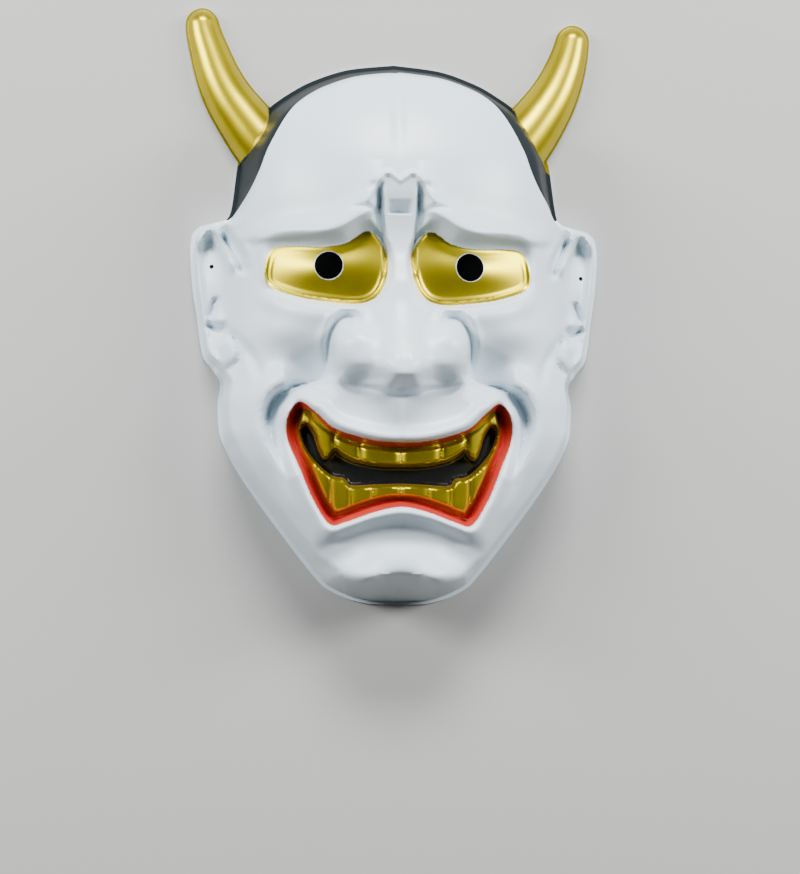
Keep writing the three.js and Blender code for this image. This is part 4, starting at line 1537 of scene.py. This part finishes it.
    def paint(self, mesh: bpy.types.Mesh) -> None:
        """Stores how far each point of the front lies inside each coat of paint, in mm.

        Args:
            mesh: The whole sheet, in the face's own place.
        """
        points = np.empty(len(mesh.vertices) * 3)
        mesh.vertices.foreach_get("co", points)
        x, y, _ = points.reshape(-1, 3).T / MM
        lines = self.relief.lines
        from_features = x - self.relief.middle(y)
        half = np.abs(from_features)
        teeth = signed(from_features, y, lines["teeth"])
        gap = signed(from_features, y, lines["gap"])
        lip = signed(from_features, y, lines["lip"])
        eye = signed(half, y, lines["eye"])
        pupil = np.hypot(half - self.eye_centre[0], y - self.eye_centre[1])
        worn = pupil - self.eye_hole / 2 - self.worn_ring
        coats = {
            "red_inside": -lip,
            "gold_inside": np.maximum.reduce([
                np.minimum(-teeth, gap), np.minimum(self.eye_spread - eye, worn), self.gold_horns(x, y)]),
            "black_inside": -gap,
        }
        for name, values in coats.items():
            attribute = mesh.attributes.new(name, "FLOAT", "POINT")
            attribute.data.foreach_set("value", values.astype(np.float32))

    def banded(self, mesh: bpy.types.Mesh) -> Array:
        """Says which faces lie in the black band.

        Args:
            mesh: The whole sheet, in the face's own place.

        Returns:
            True for each face beyond the band's edge, up to where gold covers it fully.
        """
        centres = np.empty(len(mesh.polygons) * 3)
        mesh.polygons.foreach_get("center", centres)
        x, y, _ = centres.reshape(-1, 3).T / MM
        edge = along(np.abs(x - self.band_middle), y, traced(self.band_edge))
        beyond = -edge.side * edge.distance
        return (y > 0) & (beyond > 0) & (self.gold_horns(x, y) < self.gold_full)

    def build(self) -> bpy.types.Object:
        """Builds, paints and places the mask.

        Returns:
            The finished piece.
        """
        mesh = self.solid()
        self.paint(mesh)
        mesh.materials.clear()
        mesh.materials.append(PaintedSheet().material())
        mesh.materials.append(BareSheet().material())
        mesh.materials.append(BandEnamel().material())
        normals = np.empty(len(mesh.polygons) * 3)
        mesh.polygons.foreach_get("normal", normals)
        bare = normals.reshape(-1, 3)[:, 2] < self.upward
        slots = np.where(bare, 1, np.where(self.banded(mesh), 2, 0))
        mesh.polygons.foreach_set("material_index", slots.astype(np.int32))
        mesh.polygons.foreach_set("use_smooth", np.ones(len(mesh.polygons), bool))
        mesh.set_sharp_from_angle(angle=math.radians(self.sharp_angle))
        mesh.transform(Matrix.Translation(Vector(self.shift() * MM)))
        mesh.update()
        piece = new_object(mesh)
        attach(piece, "root")
        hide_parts("mask_shell")
        log.info("%s: %d points, %d faces", piece.name, len(mesh.vertices), len(mesh.polygons))
        return piece


# Floor, light and camera


@dataclass(frozen=True)
class Softbox:
    """Soft rectangular light, with its place and size in metres and its power in watts."""

    name: str
    place: tuple[float, float, float]
    size: tuple[float, float]
    power: float


@dataclass
class Studio:
    """Plain pale floor, soft light from both sides and a camera that looks down on the mask."""

    softboxes: tuple[Softbox, ...] = (
        Softbox("left_softbox", (-1.00, 0.34, 0.66), (0.30, 0.7), 21),
        Softbox("right_softbox", (1.00, 0.34, 0.66), (0.30, 0.7), 21),
        Softbox("top_softbox", (0.0, 1.12, 1.00), (0.7, 0.35), 40),
    )
    floor_colour: str = "ACACAA"
    floor_roughness: float = 0.85
    floor_side: float = 6000.0
    target: tuple[float, float] = (3.206, -77.873)
    distance: float = 1150.0
    yaw: float = 4.0
    pitch: float = 2.0
    roll: float = 0.5
    focal: float = 103.6
    world: float = 0.03

    def floor(self) -> bpy.types.Object:
        """Lays the pale floor under the mask.

        Returns:
            The floor.
        """
        half = self.floor_side / 2
        corners = [(-half, -half, 0), (half, -half, 0), (half, half, 0), (-half, half, 0)]
        mesh = new_mesh("studio_floor", np.array(corners, float), [(0, 1, 2, 3)])
        material = bpy.data.materials.new("matt_card")
        material.use_nodes = True
        shader = material.node_tree.nodes["Principled BSDF"]
        shader.inputs["Base Color"].default_value = linear(self.floor_colour)
        shader.inputs["Roughness"].default_value = self.floor_roughness
        mesh.materials.append(material)
        piece = new_object(mesh)
        return piece

    def camera(self, shift: Array) -> bpy.types.Object:
        """Sets the camera a little to the left of the mask's middle and a little below it.

        Args:
            shift: Where the face's own origin lies in the frame, in mm.

        Returns:
            The camera.
        """
        yaw, pitch, roll = (math.radians(angle) for angle in (self.yaw, self.pitch, self.roll))
        level = math.cos(pitch)
        back = Vector((-math.sin(yaw) * level, -math.sin(pitch), math.cos(yaw) * level))
        flat = Vector((0, 1, 0)).cross(back).normalized()
        steep = back.cross(flat)
        right = flat * math.cos(roll) + steep * math.sin(roll)
        up = steep * math.cos(roll) - flat * math.sin(roll)
        data = bpy.data.cameras.new("studio_camera")
        data.lens = self.focal
        data.clip_end = 20.0
        camera = bpy.data.objects.new(data.name, data)
        bpy.context.scene.collection.objects.link(camera)
        at = (Vector((*self.target, 0)) + Vector(shift) + back * self.distance) * MM
        camera.matrix_world = Matrix((
            (right.x, up.x, back.x, at.x),
            (right.y, up.y, back.y, at.y),
            (right.z, up.z, back.z, at.z),
            (0, 0, 0, 1),
        ))
        bpy.context.scene.camera = camera
        return camera

    def hang(self, softbox: Softbox) -> bpy.types.Object:
        """Hangs a soft light that points at the mask.

        Args:
            softbox: The light to hang.

        Returns:
            The light.
        """
        data = bpy.data.lights.new(softbox.name, "AREA")
        data.shape = "RECTANGLE"
        data.size, data.size_y = softbox.size
        data.energy = softbox.power
        light = bpy.data.objects.new(softbox.name, data)
        bpy.context.scene.collection.objects.link(light)
        light.location = softbox.place
        light.rotation_euler = Vector(softbox.place).to_track_quat("Z", "Y").to_euler()
        return light

    def build(self, shift: Array) -> None:
        """Builds the whole studio round the mask.

        Args:
            shift: Where the face's own origin lies in the frame, in mm.
        """
        self.floor()
        self.camera(shift)
        for softbox in self.softboxes:
            self.hang(softbox)
        world = bpy.data.worlds.new("soft_room")
        world.use_nodes = True
        background = world.node_tree.nodes["Background"]
        background.inputs["Color"].default_value = (1, 1, 1, 1)
        background.inputs["Strength"].default_value = self.world
        bpy.context.scene.world = world


def main() -> None:
    """Builds the mask and its studio."""
    logging.basicConfig(level=logging.INFO, format="%(name)s: %(message)s")
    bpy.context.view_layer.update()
    mask = Mask()
    mask.build()
    Studio().build(mask.shift())


if __name__ == "__main__":
    main()
